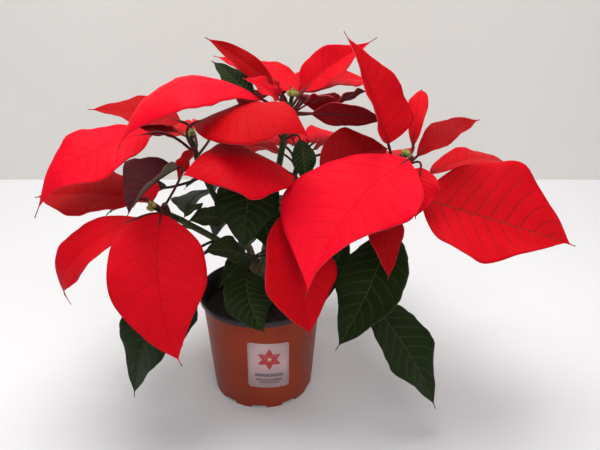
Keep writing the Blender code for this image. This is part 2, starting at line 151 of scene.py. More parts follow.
def newGroup(name, inputs, outputs):
    group = bpy.data.node_groups.new(name, "ShaderNodeTree")
    for title, value in inputs.items():
        kind = "NodeSocketVector" if isinstance(value, tuple) else "NodeSocketFloat"
        made = group.interface.new_socket(name=title, in_out="INPUT", socket_type=kind)
        made.default_value = value
    for title in outputs:
        group.interface.new_socket(name=title, in_out="OUTPUT", socket_type="NodeSocketFloat")
    return group, group.nodes.new("NodeGroupInput").outputs, group.nodes.new("NodeGroupOutput").inputs


def place(tree, group, **values):
    node = tree.nodes.new("ShaderNodeGroup")
    node.node_tree = group
    for title, value in values.items():
        put(tree, node.inputs[title], value)
    return node.outputs


# Grain, shared by all the materials: noise over the piece's own coordinates, with Scale in waves per
# metre, and soft-edged patches cut from it. There is no patch where the noise is under Low, and one
# of the strength Amount where it is over High.

grainInputs = {
    "Scale": 100.0,
    "Detail": 3.0,
    "Stretch": (1.0, 1.0, 1.0),
    "Low": 0.0,
    "High": 1.0,
    "Amount": 1.0,
}


def makeGrain(inputs):
    group, given, out = newGroup("grain", inputs, ["Noise", "Patches"])
    spot = group.nodes.new("ShaderNodeTexCoord")
    stretched = group.nodes.new("ShaderNodeMapping")
    waves = group.nodes.new("ShaderNodeTexNoise")
    put(group, stretched.inputs["Vector"], spot.outputs["Object"])
    put(group, stretched.inputs["Scale"], given["Stretch"])
    put(group, waves.inputs["Vector"], stretched.outputs["Vector"])
    put(group, waves.inputs["Scale"], given["Scale"])
    put(group, waves.inputs["Detail"], given["Detail"])
    put(group, out["Noise"], waves.outputs["Fac"])
    put(group, out["Patches"], ramp(group, waves.outputs["Fac"], given["Low"], given["High"], 0.0,
                                    given["Amount"]))
    return group


grain = makeGrain(grainInputs)


def mottled(name, look):
    # Cloudy patches of "other" over "colour", then spots of further colours, and a fine relief with
    # its strength and its depth in metres.
    material, tree, shader = newMaterial(name)
    cloud = place(tree, grain, **look["cloud"])["Patches"]
    colour = blendColours(tree, cloud, look["colour"], look["other"])
    for tint, spread in look.get("spots", []):
        colour = blendColours(tree, place(tree, grain, **spread)["Patches"], colour, tint)
    put(tree, shader.inputs["Base Color"], colour)
    rough = look["roughness"]
    if "roughVary" in look:
        rough = calc(tree, "MULTIPLY_ADD", cloud, look["roughVary"], rough)
    put(tree, shader.inputs["Roughness"], rough)
    if "specular" in look:
        put(tree, shader.inputs["Specular IOR Level"], look["specular"])
    if "relief" in look:
        height = place(tree, grain, **look["grain"])["Noise"]
        put(tree, shader.inputs["Normal"], bump(tree, height, *look["relief"]))
    return material


# Veins: a blade's own UV map runs across it in U and from base to tip in V. Two attributes hold its
# half width and its length in millimetres, so that veins are as wide on a small blade as on a big one.

veinSet = {
    "pairs": 10.5,      # side veins on each half
    "forward": 0.17,    # how far a side vein climbs on its way to the edge
    "bend": 1.3,        # above 1, it climbs more the nearer it comes to the edge
    "stagger": 0.2,     # how far the two halves' veins are out of step
    "ribHalf": 1.1,     # half width of the midrib, mm
    "ribTaper": 0.75,   # share of that width lost on the way to the tip
    "veinHalf": 0.48,   # half width of a side vein, mm
    "veinTaper": 0.6,
    "veinSoft": 2.2,    # how far a side vein's shade spreads, in half widths
    "veinFade": 0.75,   # share of the way to the edge where side veins begin to fade
    "darkTip": 4.5,     # mm
    # The edge's colour is a paler rim: a painted highlight.
    "edge": (0.2, 1.0),  # mm from the rim where the edge's colour is full, and where it ends
    "netScale": 420.0,  # cells of the finest veins in a metre
    "netWidth": 0.12,
}


def makeVeins(given):
    group, _, out = newGroup("leafVeins", {}, ["Vein", "Rib", "Tip", "Edge", "Net"])
    nodes, link = group.nodes, group.links.new

    def work(operation, *values):
        return calc(group, operation, *values)

    cut = nodes.new("ShaderNodeSeparateXYZ")
    uv = nodes.new("ShaderNodeUVMap")
    uv.uv_map = "blade"
    link(uv.outputs["UV"], cut.inputs["Vector"])
    across = work("MULTIPLY_ADD", cut.outputs["X"], 2.0, -1.0)
    reach = work("ABSOLUTE", across)
    along = cut.outputs["Y"]
    half = attribute(group, "halfWidth")
    length = attribute(group, "bladeLength")
    climb = work("MULTIPLY", work("POWER", reach, given["bend"]), given["forward"])
    step = work("MULTIPLY", work("SUBTRACT", along, climb), given["pairs"])
    step = work("MULTIPLY_ADD", work("SIGN", across), given["stagger"], step)
    gap = work("ABSOLUTE", work("SUBTRACT", work("FRACT", step), 0.5))
    apart = work("MULTIPLY", gap, work("DIVIDE", length, given["pairs"]))
    shade = given["veinHalf"] * given["veinSoft"]
    thin = work("MULTIPLY_ADD", reach, -given["veinTaper"] * shade, shade)
    near = work("SUBTRACT", 1.0, work("DIVIDE", apart, thin))
    fade = ramp(group, reach, given["veinFade"], 1.0, 1.0, 0.0)
    link(work("MULTIPLY", work("MAXIMUM", near, 0.0), fade), out["Vein"])
    sideways = work("MULTIPLY", reach, half)
    ribHalf = given["ribHalf"]
    taper = work("MULTIPLY_ADD", along, -given["ribTaper"] * ribHalf, ribHalf)
    rib = work("SUBTRACT", 1.0, work("DIVIDE", sideways, taper))
    link(work("MAXIMUM", rib, 0.0), out["Rib"])
    left = work("MULTIPLY", work("SUBTRACT", 1.0, along), length)
    link(ramp(group, left, 0.3 * given["darkTip"], given["darkTip"], 1.0, 0.0), out["Tip"])
    # The edge mask: a paler rim, a painted highlight.
    inward = work("MULTIPLY", work("SUBTRACT", 1.0, reach), half)
    link(ramp(group, inward, *given["edge"], 1.0, 0.0), out["Edge"])
    cells = nodes.new("ShaderNodeTexVoronoi")
    cells.feature = "DISTANCE_TO_EDGE"
    cells.inputs["Scale"].default_value = given["netScale"]
    spot = nodes.new("ShaderNodeTexCoord")
    link(spot.outputs["Object"], cells.inputs["Vector"])
    apart = cells.outputs["Distance"]
    link(ramp(group, apart, 0.0, given["netWidth"], 1.0, 0.0), out["Net"])
    return group


veins = makeVeins(veinSet)


# Finishes of the blades' upper and under faces. Their cut edges are among the smooth skins below.

bladeFinishes = {
    # In each finish the second colour is lighter and the third darker, both reached by a blade's tone:
    # on the bracts they are mostly painted light and painted shade.
    "bractUpper": dict(
        colour=(0.50, 0.0008, 0.0040), bright=(0.80, 0.0018, 0.018), deep=(0.12, 0.0004, 0.0012),
        vein=(0.36, 0.001, 0.004), agedVein=(0.10, 0.010, 0.008), agedRib=(0.075, 0.035, 0.014),
        # The edge colours are paler rims: a painted highlight.
        tip=(0.060, 0.008, 0.010), edge=(0.60, 0.02, 0.035),
        veinAmount=0.10, roughness=0.55, specular=0.06,
    ),
    # The under face's darker red is painted shade.
    "bractUnder": dict(
        colour=(0.20, 0.001, 0.004), bright=(0.30, 0.002, 0.008), deep=(0.08, 0.0004, 0.0012),
        vein=(0.26, 0.010, 0.014), agedVein=(0.16, 0.02, 0.02), agedRib=(0.14, 0.06, 0.03),
        tip=(0.05, 0.008, 0.010), edge=(0.35, 0.02, 0.03),
        veinAmount=0.25, roughness=0.60, specular=0.10,
    ),
    "leafUpper": dict(
        colour=(0.0065, 0.0135, 0.0018), bright=(0.014, 0.030, 0.006), deep=(0.003, 0.007, 0.002),
        vein=(0.070, 0.090, 0.026), agedVein=(0.055, 0.065, 0.022), agedRib=(0.075, 0.09, 0.035),
        tip=(0.04, 0.045, 0.016), edge=(0.022, 0.034, 0.011),
        veinAmount=0.40, roughness=0.46, specular=0.10,
    ),
    "leafUnder": dict(
        colour=(0.020, 0.038, 0.014), bright=(0.035, 0.058, 0.022), deep=(0.010, 0.018, 0.006),
        vein=(0.05, 0.07, 0.03), agedVein=(0.06, 0.08, 0.035), agedRib=(0.08, 0.09, 0.045),
        tip=(0.04, 0.045, 0.016), edge=(0.03, 0.045, 0.018),
        veinAmount=0.5, roughness=0.6, specular=0.2,
    ),
    "purpleUpper": dict(
        colour=(0.042, 0.0018, 0.004), bright=(0.070, 0.005, 0.009), deep=(0.02, 0.001, 0.002),
        vein=(0.020, 0.003, 0.005), agedVein=(0.03, 0.006, 0.01), agedRib=(0.09, 0.02, 0.03),
        tip=(0.03, 0.005, 0.01), edge=(0.10, 0.03, 0.04),
        veinAmount=0.6, roughness=0.55, specular=0.12,
    ),
    "purpleUnder": dict(
        colour=(0.075, 0.075, 0.045), bright=(0.11, 0.12, 0.065), deep=(0.03, 0.03, 0.02),
        vein=(0.13, 0.13, 0.08), agedVein=(0.20, 0.16, 0.10), agedRib=(0.28, 0.12, 0.10),
        tip=(0.05, 0.02, 0.02), edge=(0.14, 0.05, 0.05),
        veinAmount=0.5, roughness=0.6, specular=0.2,
    ),
}


bladeSkin = {
    "cloud": dict(Scale=38.0, Detail=4.0, Low=0.32, High=0.68),
    "cloudTone": 0.22,    # how much the cloudy patches lighten the colour
    "cloudRough": 0.12,   # how much they vary the roughness
    # The darkest colour is painted shade, for bracts that stand in shade.
    "deep": 0.8,          # how far the darkest tone goes to the deep colour
    "net": 0.02,          # how much the finest veins show on a young blade
    "agedNet": 0.25,      # and how much is added on an aged one
    "agedVein": 0.9,
    "ribMore": 0.1,       # how much more the midrib shows than the side veins
    "edge": 0.5,
    "sunk": {"Net": 0.25, "Vein": 0.9, "Rib": 1.2},
    "grain": dict(Scale=900.0, Detail=2.0),
    "relief": (0.55, 0.0005),   # strength, and depth in metres
}


def bladeMaterial(name, look):
    material, tree, shader = newMaterial(name)
    mask = place(tree, veins)
    tone = attribute(tree, "tone")
    aged = attribute(tree, "aged")
    cloudy = place(tree, grain, **bladeSkin["cloud"])["Patches"]
    # The tone lifts the colour towards the lighter red, painted light on the lit bracts; the cloudy
    # patches lighten it at random.
    lift = calc(tree, "MULTIPLY_ADD", cloudy, bladeSkin["cloudTone"], tone)
    netAmount = calc(tree, "MULTIPLY_ADD", aged, bladeSkin["agedNet"], bladeSkin["net"])
    young = look["veinAmount"]
    amount = calc(tree, "MULTIPLY_ADD", aged, bladeSkin["agedVein"] - young, young)
    ribAmount = calc(tree, "ADD", amount, bladeSkin["ribMore"])
    colour = blendColours(tree, lift, look["colour"], look["bright"])
    for factor, tint in (
            # Below nought the tone pulls the colour towards the darkest red: painted shade.
            (ramp(tree, tone, -1.0, 0.0, bladeSkin["deep"], 0.0), look["deep"]),
            (calc(tree, "MULTIPLY", mask["Net"], netAmount), look["agedVein"]),
            (calc(tree, "MULTIPLY", mask["Vein"], amount),
             blendColours(tree, aged, look["vein"], look["agedVein"])),
            (calc(tree, "MULTIPLY", ramp(tree, mask["Rib"], 0.0, 0.6), ribAmount),
             blendColours(tree, aged, look["vein"], look["agedRib"])),
            # The paler rim: a painted highlight.
            (calc(tree, "MULTIPLY", mask["Edge"], bladeSkin["edge"]), look["edge"]),
            (mask["Tip"], look["tip"])):
        colour = blendColours(tree, factor, colour, tint)
    tree.links.new(colour, shader.inputs["Base Color"])
    rough = calc(tree, "MULTIPLY_ADD", cloudy, bladeSkin["cloudRough"],
                 look["roughness"] - bladeSkin["cloudRough"] / 2)
    tree.links.new(rough, shader.inputs["Roughness"])
    shader.inputs["Specular IOR Level"].default_value = look["specular"]
    height = place(tree, grain, **bladeSkin["grain"])["Noise"]
    for part, sunk in bladeSkin["sunk"].items():
        height = calc(tree, "MULTIPLY_ADD", mask[part], -sunk, height)
    tree.links.new(bump(tree, height, *bladeSkin["relief"]), shader.inputs["Normal"])
    return material


# Smooth skins, of cut edges, stalks and shoots, and of the buds' small parts and the perlite: a
# colour, a second one in long streaks over it, and the roughness

smoothSkins = {
    # The cut edges' colours are paler than the faces: a painted highlight along the rims.
    "bractEdge": ((0.50, 0.035, 0.05), (0.58, 0.06, 0.07), 0.6),
    "leafEdge": ((0.035, 0.05, 0.018), (0.06, 0.075, 0.03), 0.6),
    "purpleEdge": ((0.16, 0.05, 0.06), (0.10, 0.03, 0.04), 0.5),
    "redStalk": ((0.060, 0.004, 0.006), (0.11, 0.007, 0.010), 0.5),
    "greenStalk": ((0.026, 0.010, 0.004), (0.018, 0.022, 0.007), 0.5),
    "shootSkin": ((0.022, 0.030, 0.009), (0.045, 0.055, 0.018), 0.55),
    "gland": ((0.75, 0.50, 0.03), (0.62, 0.60, 0.08), 0.25),
    "thread": ((0.42, 0.02, 0.015), (0.60, 0.30, 0.04), 0.5),
    "perlite": ((0.55, 0.53, 0.48), (0.40, 0.36, 0.30), 0.8),
}

streaked = {
    "streaks": dict(Scale=120.0, Detail=3.0, Stretch=(1, 1, 0.25), Low=0.35, High=0.65),
    "flecks": dict(Scale=1400.0, Detail=2.0),
    "fleckRough": 0.2,    # how much the flecks vary the roughness
    "relief": (0.25, 0.0002),
    "specular": 0.2,
}


def smoothSkin(name, colour, other, roughness):
    material, tree, shader = newMaterial(name)
    streaks = place(tree, grain, **streaked["streaks"])["Patches"]
    fleck = place(tree, grain, **streaked["flecks"])["Noise"]
    vary = streaked["fleckRough"]
    rough = calc(tree, "MULTIPLY_ADD", fleck, vary, roughness - vary / 2)
    tree.links.new(blendColours(tree, streaks, colour, other), shader.inputs["Base Color"])
    tree.links.new(rough, shader.inputs["Roughness"])
    tree.links.new(bump(tree, fleck, *streaked["relief"]), shader.inputs["Normal"])
    shader.inputs["Specular IOR Level"].default_value = streaked["specular"]
    return material


finish = {name: bladeMaterial(name, look) for name, look in bladeFinishes.items()}
finish.update({name: smoothSkin(name, *look) for name, look in smoothSkins.items()})
print("leaf and stalk finishes made")


# The plant's layout, as in the solids: a head is where its bracts meet, and its green shoot runs
# from "foot", at the woody fork, through "bend" to the head.

heads = {
    "centre": dict(hub=(29, 16, 284), foot=(5, 4, 152), bend=(16, 14, 215)),
    "right": dict(hub=(122, -24, 244), foot=(24, -8, 148), bend=(78, -30, 190)),
    "upper_left": dict(hub=(-58, 10, 250), foot=(-14, 8, 150), bend=(-42, 12, 198)),
    "lower_left": dict(hub=(-82, -42, 208), foot=(-15, -9, 147), bend=(-52, -20, 178)),
    "front": dict(hub=(43, -36, 224), foot=(9, -16, 147), bend=(25, -30, 184)),
    "back": dict(hub=(38, 84, 212), foot=(8, 18, 146), bend=(24, 56, 176)),
}


def leaf(base, tip, width, bow=8, roll=0, fold=6, curl=0, twist=0, sweep=0, wave=2.0, lobes=0.03,
         widest=0.42, skew=0, hook=(0, 0, 0), root=None, tone=0.35, aged=0.1):
    # base and tip of the midrib, width, arch up (bow) and sideways (sweep), turn about the length
    # (roll), V of the two halves (fold), their curl and twist, the share where the blade is widest,
    # how far its halves differ in that (skew), the bend of its thin tip (hook), and root, the share
    # of the shoot from which a green leaf's stalk leaves. The tone lightens the colour, as painted light
    # on the lit bracts, and below nought darkens it, as painted shade; aged brings the veins out.
    return dict(base=base, tip=tip, width=width, bow=bow, roll=roll, fold=fold, curl=curl,
                twist=twist, sweep=sweep, wave=wave, lobes=lobes, widest=widest, skew=skew,
                hook=hook, root=root, tone=tone, aged=aged)


bracts = {
    "centre": [
        leaf((17, 22, 292), (-45, 35, 336), 19, bow=2, roll=-48, fold=14, sweep=3, widest=0.5),
        leaf((35, 30, 290), (-44, 80, 310), 46, bow=4, roll=-6, widest=0.28),
        leaf((19, 8, 289), (-11, 2, 309), 25, bow=3, roll=-20),
        leaf((21, 9, 293), (13, 14, 306), 7, bow=1),
        leaf((40, 26, 291), (100, 60, 325), 38, bow=2, roll=32, fold=24, sweep=-4, widest=0.36,
             hook=(6, 0, 6)),
        leaf((25, 38, 288), (118, 92, 278), 46, bow=10, roll=10, widest=0.4),
        leaf((42, 8, 284), (65, -10, 296), 14, bow=3, roll=-30),
        leaf((5, 4, 290), (-108, -50, 272), 66, bow=33, roll=-6, curl=-24, fold=-4, widest=0.58,
             hook=(0, 0, -7)),
        leaf((47, 0, 279), (112, -9, 275), 25, bow=4, roll=-70, fold=-6),
        leaf((66, 12, 281), (98, 36, 289), 24, bow=2, roll=-45),
        leaf((20, 42, 284), (-22, 122, 240), 52, bow=12),
        leaf((44, 44, 280), (62, 126, 230), 50, bow=12),
    ],
    "right": [
        leaf((111, -20, 259), (73, 10, 346), 56, bow=5, roll=-6, fold=31, widest=0.22),
        leaf((134, -8, 252), (147, 44, 288), 17, bow=12, widest=0.62),
        leaf((136, -22, 249), (189, -8, 276), 33, bow=7, roll=10, widest=0.5),
        leaf((152, 2, 223), (247, 56, 203), 38, bow=15, roll=6, widest=0.5),
        leaf((139, -38, 217), (267, -60, 183), 107, bow=2, roll=33, fold=16, lobes=0.05,
             widest=0.43, skew=-0.07),
        leaf((136, -42, 246), (131, -62, 209), 34, bow=4),
        leaf((125, -44, 254), (47, -116, 177), 109, bow=5, roll=-8, fold=8, twist=-10, sweep=13,
             widest=0.4, skew=0.14, hook=(-7, -4, -7)),
        leaf((101, -46, 224), (111, -72, 157), 32, bow=5, roll=-4),
        leaf((118, 4, 238), (122, 86, 192), 50, bow=12),
    ],
    "upper_left": [
        leaf((-50, -20, 277), (46, -64, 287), 71, bow=13, roll=14, fold=-8, curl=-16, twist=10,
             widest=0.55, hook=(2, 0, -13)),
        leaf((-91, -5, 263), (-176, -58, 230), 55, bow=14, roll=-26, fold=-4, widest=0.55,
             hook=(-5, 0, -22)),
        leaf((-70, 30, 250), (-112, 14, 260), 30, bow=4, roll=-10),
        leaf((-72, 38, 260), (-152, 28, 274), 50, bow=4, roll=-12, widest=0.36),
        leaf((-57, 0, 246), (-69, -12, 221), 18, bow=3),
        leaf((-64, 36, 248), (-130, 88, 212), 54, bow=12),
        leaf((-44, 36, 248), (-44, 104, 222), 44, bow=12),
    ],
    "lower_left": [
        leaf((-98, -35, 215), (-196, -14, 207), 60, bow=6, roll=-18, widest=0.5),
        leaf((-96, -58, 208), (-165, -79, 143), 42, bow=20, roll=-24, widest=0.6, hook=(10, 0, -5)),
        leaf((-75, -66, 216), (-60, -112, 99), 80, bow=12, fold=6, sweep=11, widest=0.35),
        leaf((-92, -22, 206), (-156, 42, 180), 54, bow=14),
    ],
    "front": [
        leaf((32, -34, 236), (-57, -78, 252), 70, bow=17, roll=-20, fold=-8, curl=-14, twist=-14,
             widest=0.5),
        leaf((25, -50, 209), (46, -84, 108), 66, bow=8, sweep=3, widest=0.5),
        leaf((54, -21, 237), (116, 2, 247), 53, bow=6, roll=46),
    ],
    "back": [
        leaf((50, 102, 216), (98, 180, 178), 54, bow=16),
        leaf((36, 106, 210), (28, 192, 180), 54, bow=16),
        leaf((22, 98, 214), (-34, 162, 184), 48, bow=14),
        leaf((60, 88, 210), (148, 118, 182), 54, bow=14),
        leaf((30, 96, 222), (12, 120, 236), 24, bow=4),
        leaf((50, 84, 216), (94, 76, 226), 28, bow=6),
        leaf((18, 80, 214), (-44, 74, 212), 44, bow=10),
    ],
}

purpleLeaf = leaf((-63, -52, 249), (-96, -91, 225), 50, bow=6, roll=2, fold=42)

leaves = {
    "centre": [
        leaf((-4, 14, 286), (-40, 34, 316), 28, bow=3, roll=-14, root=0.82),
        leaf((-4, -6, 232), (-11, -55, 175), 56, bow=6, root=0.5),
        leaf((0, 2, 195), (10, -14, 153), 36, bow=3, root=0.3),
        leaf((37, 5, 254), (42, -8, 215), 22, bow=3, root=0.8),
        leaf((-20, 30, 212), (-78, 62, 182), 44, bow=8, root=0.45),
    ],
    "right": [
        leaf((116, -21, 176), (68, -78, 90), 66, bow=8, sweep=-9, root=0.5),
        leaf((101, -45, 118), (157, -92, 37), 64, bow=8, root=0.2),
        leaf((80, -2, 160), (54, -36, 104), 30, bow=4, root=0.34),
        leaf((128, 8, 190), (200, 44, 148), 54, bow=8, root=0.6),
    ],
    "upper_left": [
        leaf((-30, -4, 182), (-64, -10, 182), 24, bow=4, roll=-25, root=0.3),
        leaf((-48, 44, 190), (-86, 96, 136), 50, bow=8, root=0.6),
        leaf((-86, 20, 202), (-150, 22, 168), 46, bow=8, root=0.7),
    ],
    "lower_left": [
        leaf((-78, -46, 142), (-112, -80, 40), 66, bow=8, root=0.3),
        leaf((-60, -30, 143), (-71, -48, 73), 36, bow=5, root=0.15),
        leaf((-51, -12, 200), (-63, -35, 197), 14, bow=2, root=0.7),
        leaf((-92, 6, 168), (-140, 44, 112), 52, bow=8, root=0.5),
    ],
    "front": [
        leaf((-11, -28, 158), (-48, -38, 166), 36, bow=4, roll=-10, root=0.1),
        leaf((-8, -17, 148), (-36, -32, 126), 30, bow=4, root=0.24),
        leaf((-10, -37, 146), (7, -74, 104), 46, bow=5, sweep=7, root=0.12),
        leaf((13, -30, 118), (32, -40, 111), 16, bow=3, root=0.22),
    ],
    "back": [
        leaf((24, 84, 166), (28, 138, 98), 62, bow=8, root=0.3),
        leaf((-10, 66, 168), (-58, 112, 100), 52, bow=8, root=0.4),
        leaf((66, 74, 168), (118, 112, 104), 60, bow=8, root=0.5),
        leaf((4, 60, 146), (-30, 88, 84), 44, bow=6, root=0.12),
    ],
}

# How light a bract is (tone), which is painted light and shade, and how dark its veins have grown
# (aged), where it differs from the rest.
bractLooks = {
    "centre": {0: (-0.5, 0.1), 1: (0.3, 0.1), 3: (-0.4, 0.1), 4: (0.3, 0.1), 7: (0.9, 0.1),
               8: (-0.25, 0.6), 9: (-0.8, 0.1)},
    "right": {0: (0.1, 0.3), 1: (0.1, 0.1), 2: (-0.65, 0.1), 3: (0.1, 0.5), 4: (0.15, 0.8),
              6: (0.85, 0.08), 7: (-0.5, 0.2)},
    "upper_left": {0: (-0.1, 0.1), 1: (0.8, 0.1), 3: (-0.35, 0.2), 4: (-0.5, 0.1)},
    "lower_left": {0: (-0.35, 0.2), 1: (0.15, 0.1), 2: (0.25, 0.1)},
    "front": {0: (0.2, 0.1), 1: (0.1, 0.1), 2: (-0.75, 0.1)},
}

for head, looks in bractLooks.items():
    for i, (tone, aged) in looks.items():
        bracts[head][i].update(tone=tone, aged=aged)


# Blades

bladeSet = {
    "thickness": 0.5,
    "stalk": 1.3,          # radius
    "stalkKnee": 0.45,     # where the stalk bends, as a share of its reach back from the blade
    "stalkRows": 12,
    "stalkOverlap": 4.0,
    "ribEnd": 0.86,        # share of the blade along which the stalk runs on as its midrib
    "ribRows": 16,
    "ribThin": (0.18, 0.72, 1.4),   # share of the radius at its tip, the rest at its base, a power
    "bodyEnd": 0.92,       # share of the outer part where the body ends and the thin tip begins
    "outer": (1.7, 1.15),  # the two powers that round the outline beyond its widest place
    "inner": (2.2, 0.75),  # and the two before it
    "tail": 0.06,          # the thin tip's width
    "hookFrom": 0.78,      # share from which the tip may bend away
    "towardsEnds": 0.045,  # how far the rows crowd towards both ends
    "baseHalf": 1.1,
    "tipHalf": 0.35,
    "lean": 0.35,          # how far a blade's normal leans along it
    "lobes": 2.5,
    "teeth": 3.5,
    "toothDepth": 0.035,
    "notches": 11.0,       # small sharp teeth on a green leaf
    "notchDepth": 0.03,
    "waves": 2.2,
    "crease": 0.9,         # depth of the groove along the midrib
    "creaseHalf": 2.4,
    "fullWidth": 60,
    "quilt": 0.6,          # how far the skin swells between side veins
    "ripple": 0.5,         # height of the fine waves along the edge
    "ripples": 7.3,
    "towardsEdges": 0.9,   # below 1, the columns crowd towards both edges
    "rowLength": 2.7,      # length of one row of faces
    "columns": 18,
}

stubSet = {
    "radius": 2.7,
    "length": 22.0,
    "below": 9.0,          # highest stalk root below the hub
    "above": 3.0,          # lowest stalk root above the stub's end
    "shoot": 2.9,
    "gap": 0.3,
}


def unit(vector):
    return vector / np.linalg.norm(vector)


def rows(*numbers):
    return [np.asarray(number, float)[..., None] for number in numbers]


def outline(blade, share, across, toothed):
    # Half width along the midrib as a share of the widest half width.
    hand = np.where(across < 0, -1.0, 1.0)
    share = share - blade["skew"] * hand * 4 * share * (1 - share)
    wide = blade["widest"]
    outer = np.clip((share - wide) / (1 - wide), 0, 1)
    inner = np.clip((wide - share) / wide, 0, 1)
    narrows, rounds = bladeSet["outer"]
    body = np.clip(1 - (outer / bladeSet["bodyEnd"]) ** narrows, 0, 1) ** rounds
    pointed = np.hypot(body, bladeSet["tail"] * (1 - outer) ** 0.8)
    widens, rounds = bladeSet["inner"]
    width = np.where(share > wide, pointed, (1 - inner ** widens) ** rounds)
    width = width * (1 + blade["lobes"] * np.sin(2 * np.pi * bladeSet["lobes"] * share))
    if toothed:
        width = width * (1 + bladeSet["toothDepth"] * np.cos(2 * np.pi * bladeSet["teeth"] * share))
        notch = (share * bladeSet["notches"] + 0.3 * hand) % 1
        width = width * (1 + bladeSet["notchDepth"] * (notch - 0.5))
    return width


def bladeFrame(blade):
    base = np.array(blade["base"], float)
    span = np.array(blade["tip"], float) - base
    length = np.linalg.norm(span)
    along = span / length
    up = np.array((bladeSet["lean"] * along[0], bladeSet["lean"] * along[1], 1.0))
    normal = unit(up - along * (up @ along))
    side = np.cross(along, normal)
    turn = math.radians(blade["roll"])
    normal, side = (normal * math.cos(turn) + side * math.sin(turn),
                    side * math.cos(turn) - normal * math.sin(turn))
    return base, length, along, side, normal


def midrib(blade, share):
    base, length, along, side, normal = bladeFrame(blade)
    share, = rows(share)
    arch = 4 * share * (1 - share)
    bent = np.clip(share - bladeSet["hookFrom"], 0, None) / (1 - bladeSet["hookFrom"])
    aside = normal * blade["bow"] * arch + side * blade["sweep"] * arch
    return base + along * length * share + aside + np.array(blade["hook"], float) * bent ** 2


def ribFrame(blade, share):
    # The midrib's point, and the directions up from the blade and out to its side, at each share.
    side = bladeFrame(blade)[3]
    ahead = midrib(blade, np.minimum(share + 0.02, 1)) - midrib(blade, np.maximum(share - 0.02, 0))
    ahead = ahead / np.linalg.norm(ahead, axis=-1, keepdims=True)
    up = np.cross(side, ahead)
    up = up / np.linalg.norm(up, axis=-1, keepdims=True)
    out = np.cross(ahead, up)
    turn, = rows(np.radians(blade["twist"]) * (share - 0.4))
    return (midrib(blade, share), up * np.cos(turn) + out * np.sin(turn),
            out * np.cos(turn) - up * np.sin(turn))


def halfWidth(blade, share, across, toothed):
    least = np.where(share < 0.5, bladeSet["baseHalf"], bladeSet["tipHalf"])
    return np.maximum(blade["width"] / 2 * outline(blade, share, across, toothed), least)


def fullness(blade):
    # Relief is in full from this width on, and shallower on a narrow blade.
    return min(1.0, blade["width"] / bladeSet["fullWidth"])


def bladePoints(blade, share, across, toothed):
    length = bladeFrame(blade)[1]
    centre, up, out = ribFrame(blade, share)
    shape = outline(blade, share, across, toothed)
    half = halfWidth(blade, share, across, toothed)
    fold = math.radians(blade["fold"])
    curl = math.radians(blade["curl"]) + 0.001
    reach = np.abs(across)
    hand = np.where(across < 0, -1.0, 1.0)
    flat = half / curl * (np.sin(fold + curl * reach) - math.sin(fold))
    rise = half / curl * (math.cos(fold) - np.cos(fold + curl * reach))
    # Slow waves, fine ones at the edge, swells between the side veins, and the midrib's groove.
    slow = np.sin(2 * np.pi * (bladeSet["waves"] * share + 0.25 * hand) + length)
    rise = rise + blade["wave"] * slow * reach ** 2 * shape
    size = fullness(blade)
    quick = np.sin(2 * np.pi * (bladeSet["ripples"] * share + 0.4 * hand) + 1.7 * length)
    rise = rise + bladeSet["ripple"] * size * quick * reach ** 3 * shape
    climb = veinSet["forward"] * reach ** veinSet["bend"]
    step = (share - climb) * veinSet["pairs"] + veinSet["stagger"] * hand + 0.5
    swell = np.abs(np.sin(np.pi * step)) ** 0.8 - 0.6
    rise = rise + bladeSet["quilt"] * size * swell * np.clip(4 * reach * (1 - reach), 0, 1) * shape
    crease = np.exp(-(reach * half / bladeSet["creaseHalf"]) ** 2)
    rise = rise - bladeSet["crease"] * size * crease * shape
    return centre + out * rows(flat * hand)[0] + up * rows(rise)[0]


def turnShape(shape, angle, axis, verts=None):
    bmesh.ops.rotate(shape, cent=(0, 0, 0), matrix=Matrix.Rotation(angle, 3, axis),
                     verts=verts or shape.verts)


def addMesh(name, shape, materials):
    mesh = bpy.data.meshes.new(name)
    shape.to_mesh(mesh)
    shape.free()
    for material in materials:
        mesh.materials.append(material)
    mesh.shade_smooth()
    made = bpy.data.objects.new(name, mesh)
    scene.collection.objects.link(made)
    return made


def settle(piece):
    # Applies a piece's modifiers.
    graph = bpy.context.evaluated_depsgraph_get()
    mesh = bpy.data.meshes.new_from_object(piece.evaluated_get(graph))
    piece.modifiers.clear()
    piece.data = mesh
    return piece


def thicken(made, thickness):
    # Gives a flat piece its thickness. Its second material is the under face and its third the edge.
    last = len(made.data.materials) - 1
    shell = made.modifiers.new("thickness", "SOLIDIFY")
    shell.thickness = thickness * mm
    shell.offset = 0
    shell.material_offset = min(1, last)
    shell.material_offset_rim = min(2, last)
    return settle(made)


def bladePiece(blade, materials, toothed):
    # A grid laid on the blade's form. The three materials are the upper face, the under face and the
    # edge.
    length = bladeFrame(blade)[1]
    count = max(10, round(length / bladeSet["rowLength"]))
    shape = bmesh.new()
    bmesh.ops.create_grid(shape, x_segments=count, y_segments=bladeSet["columns"], size=1.0)
    flat = np.array([vert.co for vert in shape.verts])
    share, across = (flat[:, 0] + 1) / 2, -flat[:, 1]
    share = share - bladeSet["towardsEnds"] * np.sin(2 * np.pi * share)
    across = np.sign(across) * np.abs(across) ** bladeSet["towardsEdges"]
    placed = bladePoints(blade, share, across, toothed) * mm
    half = halfWidth(blade, share, across, toothed)
    layers = {name: shape.verts.layers.float.new(name)
              for name in ("halfWidth", "bladeLength", "tone", "aged")}
    for i, vert in enumerate(shape.verts):
        vert.co = placed[i]
        vert[layers["halfWidth"]] = half[i]
        vert[layers["bladeLength"]] = length
        vert[layers["tone"]] = blade["tone"]
        vert[layers["aged"]] = blade["aged"]
    uv = shape.loops.layers.uv.new("blade")
    for face in shape.faces:
        for loop in face.loops:
            i = loop.vert.index
            loop[uv].uv = (across[i] / 2 + 0.5, share[i])
    return thicken(addMesh("blade", shape, materials), bladeSet["thickness"])


def bend(share, start, middle, end):
    # A point, or a row of them, on the smooth curve that middle pulls out of the line from start to end.
    return (1 - share) ** 2 * start + 2 * share * (1 - share) * middle + share ** 2 * end


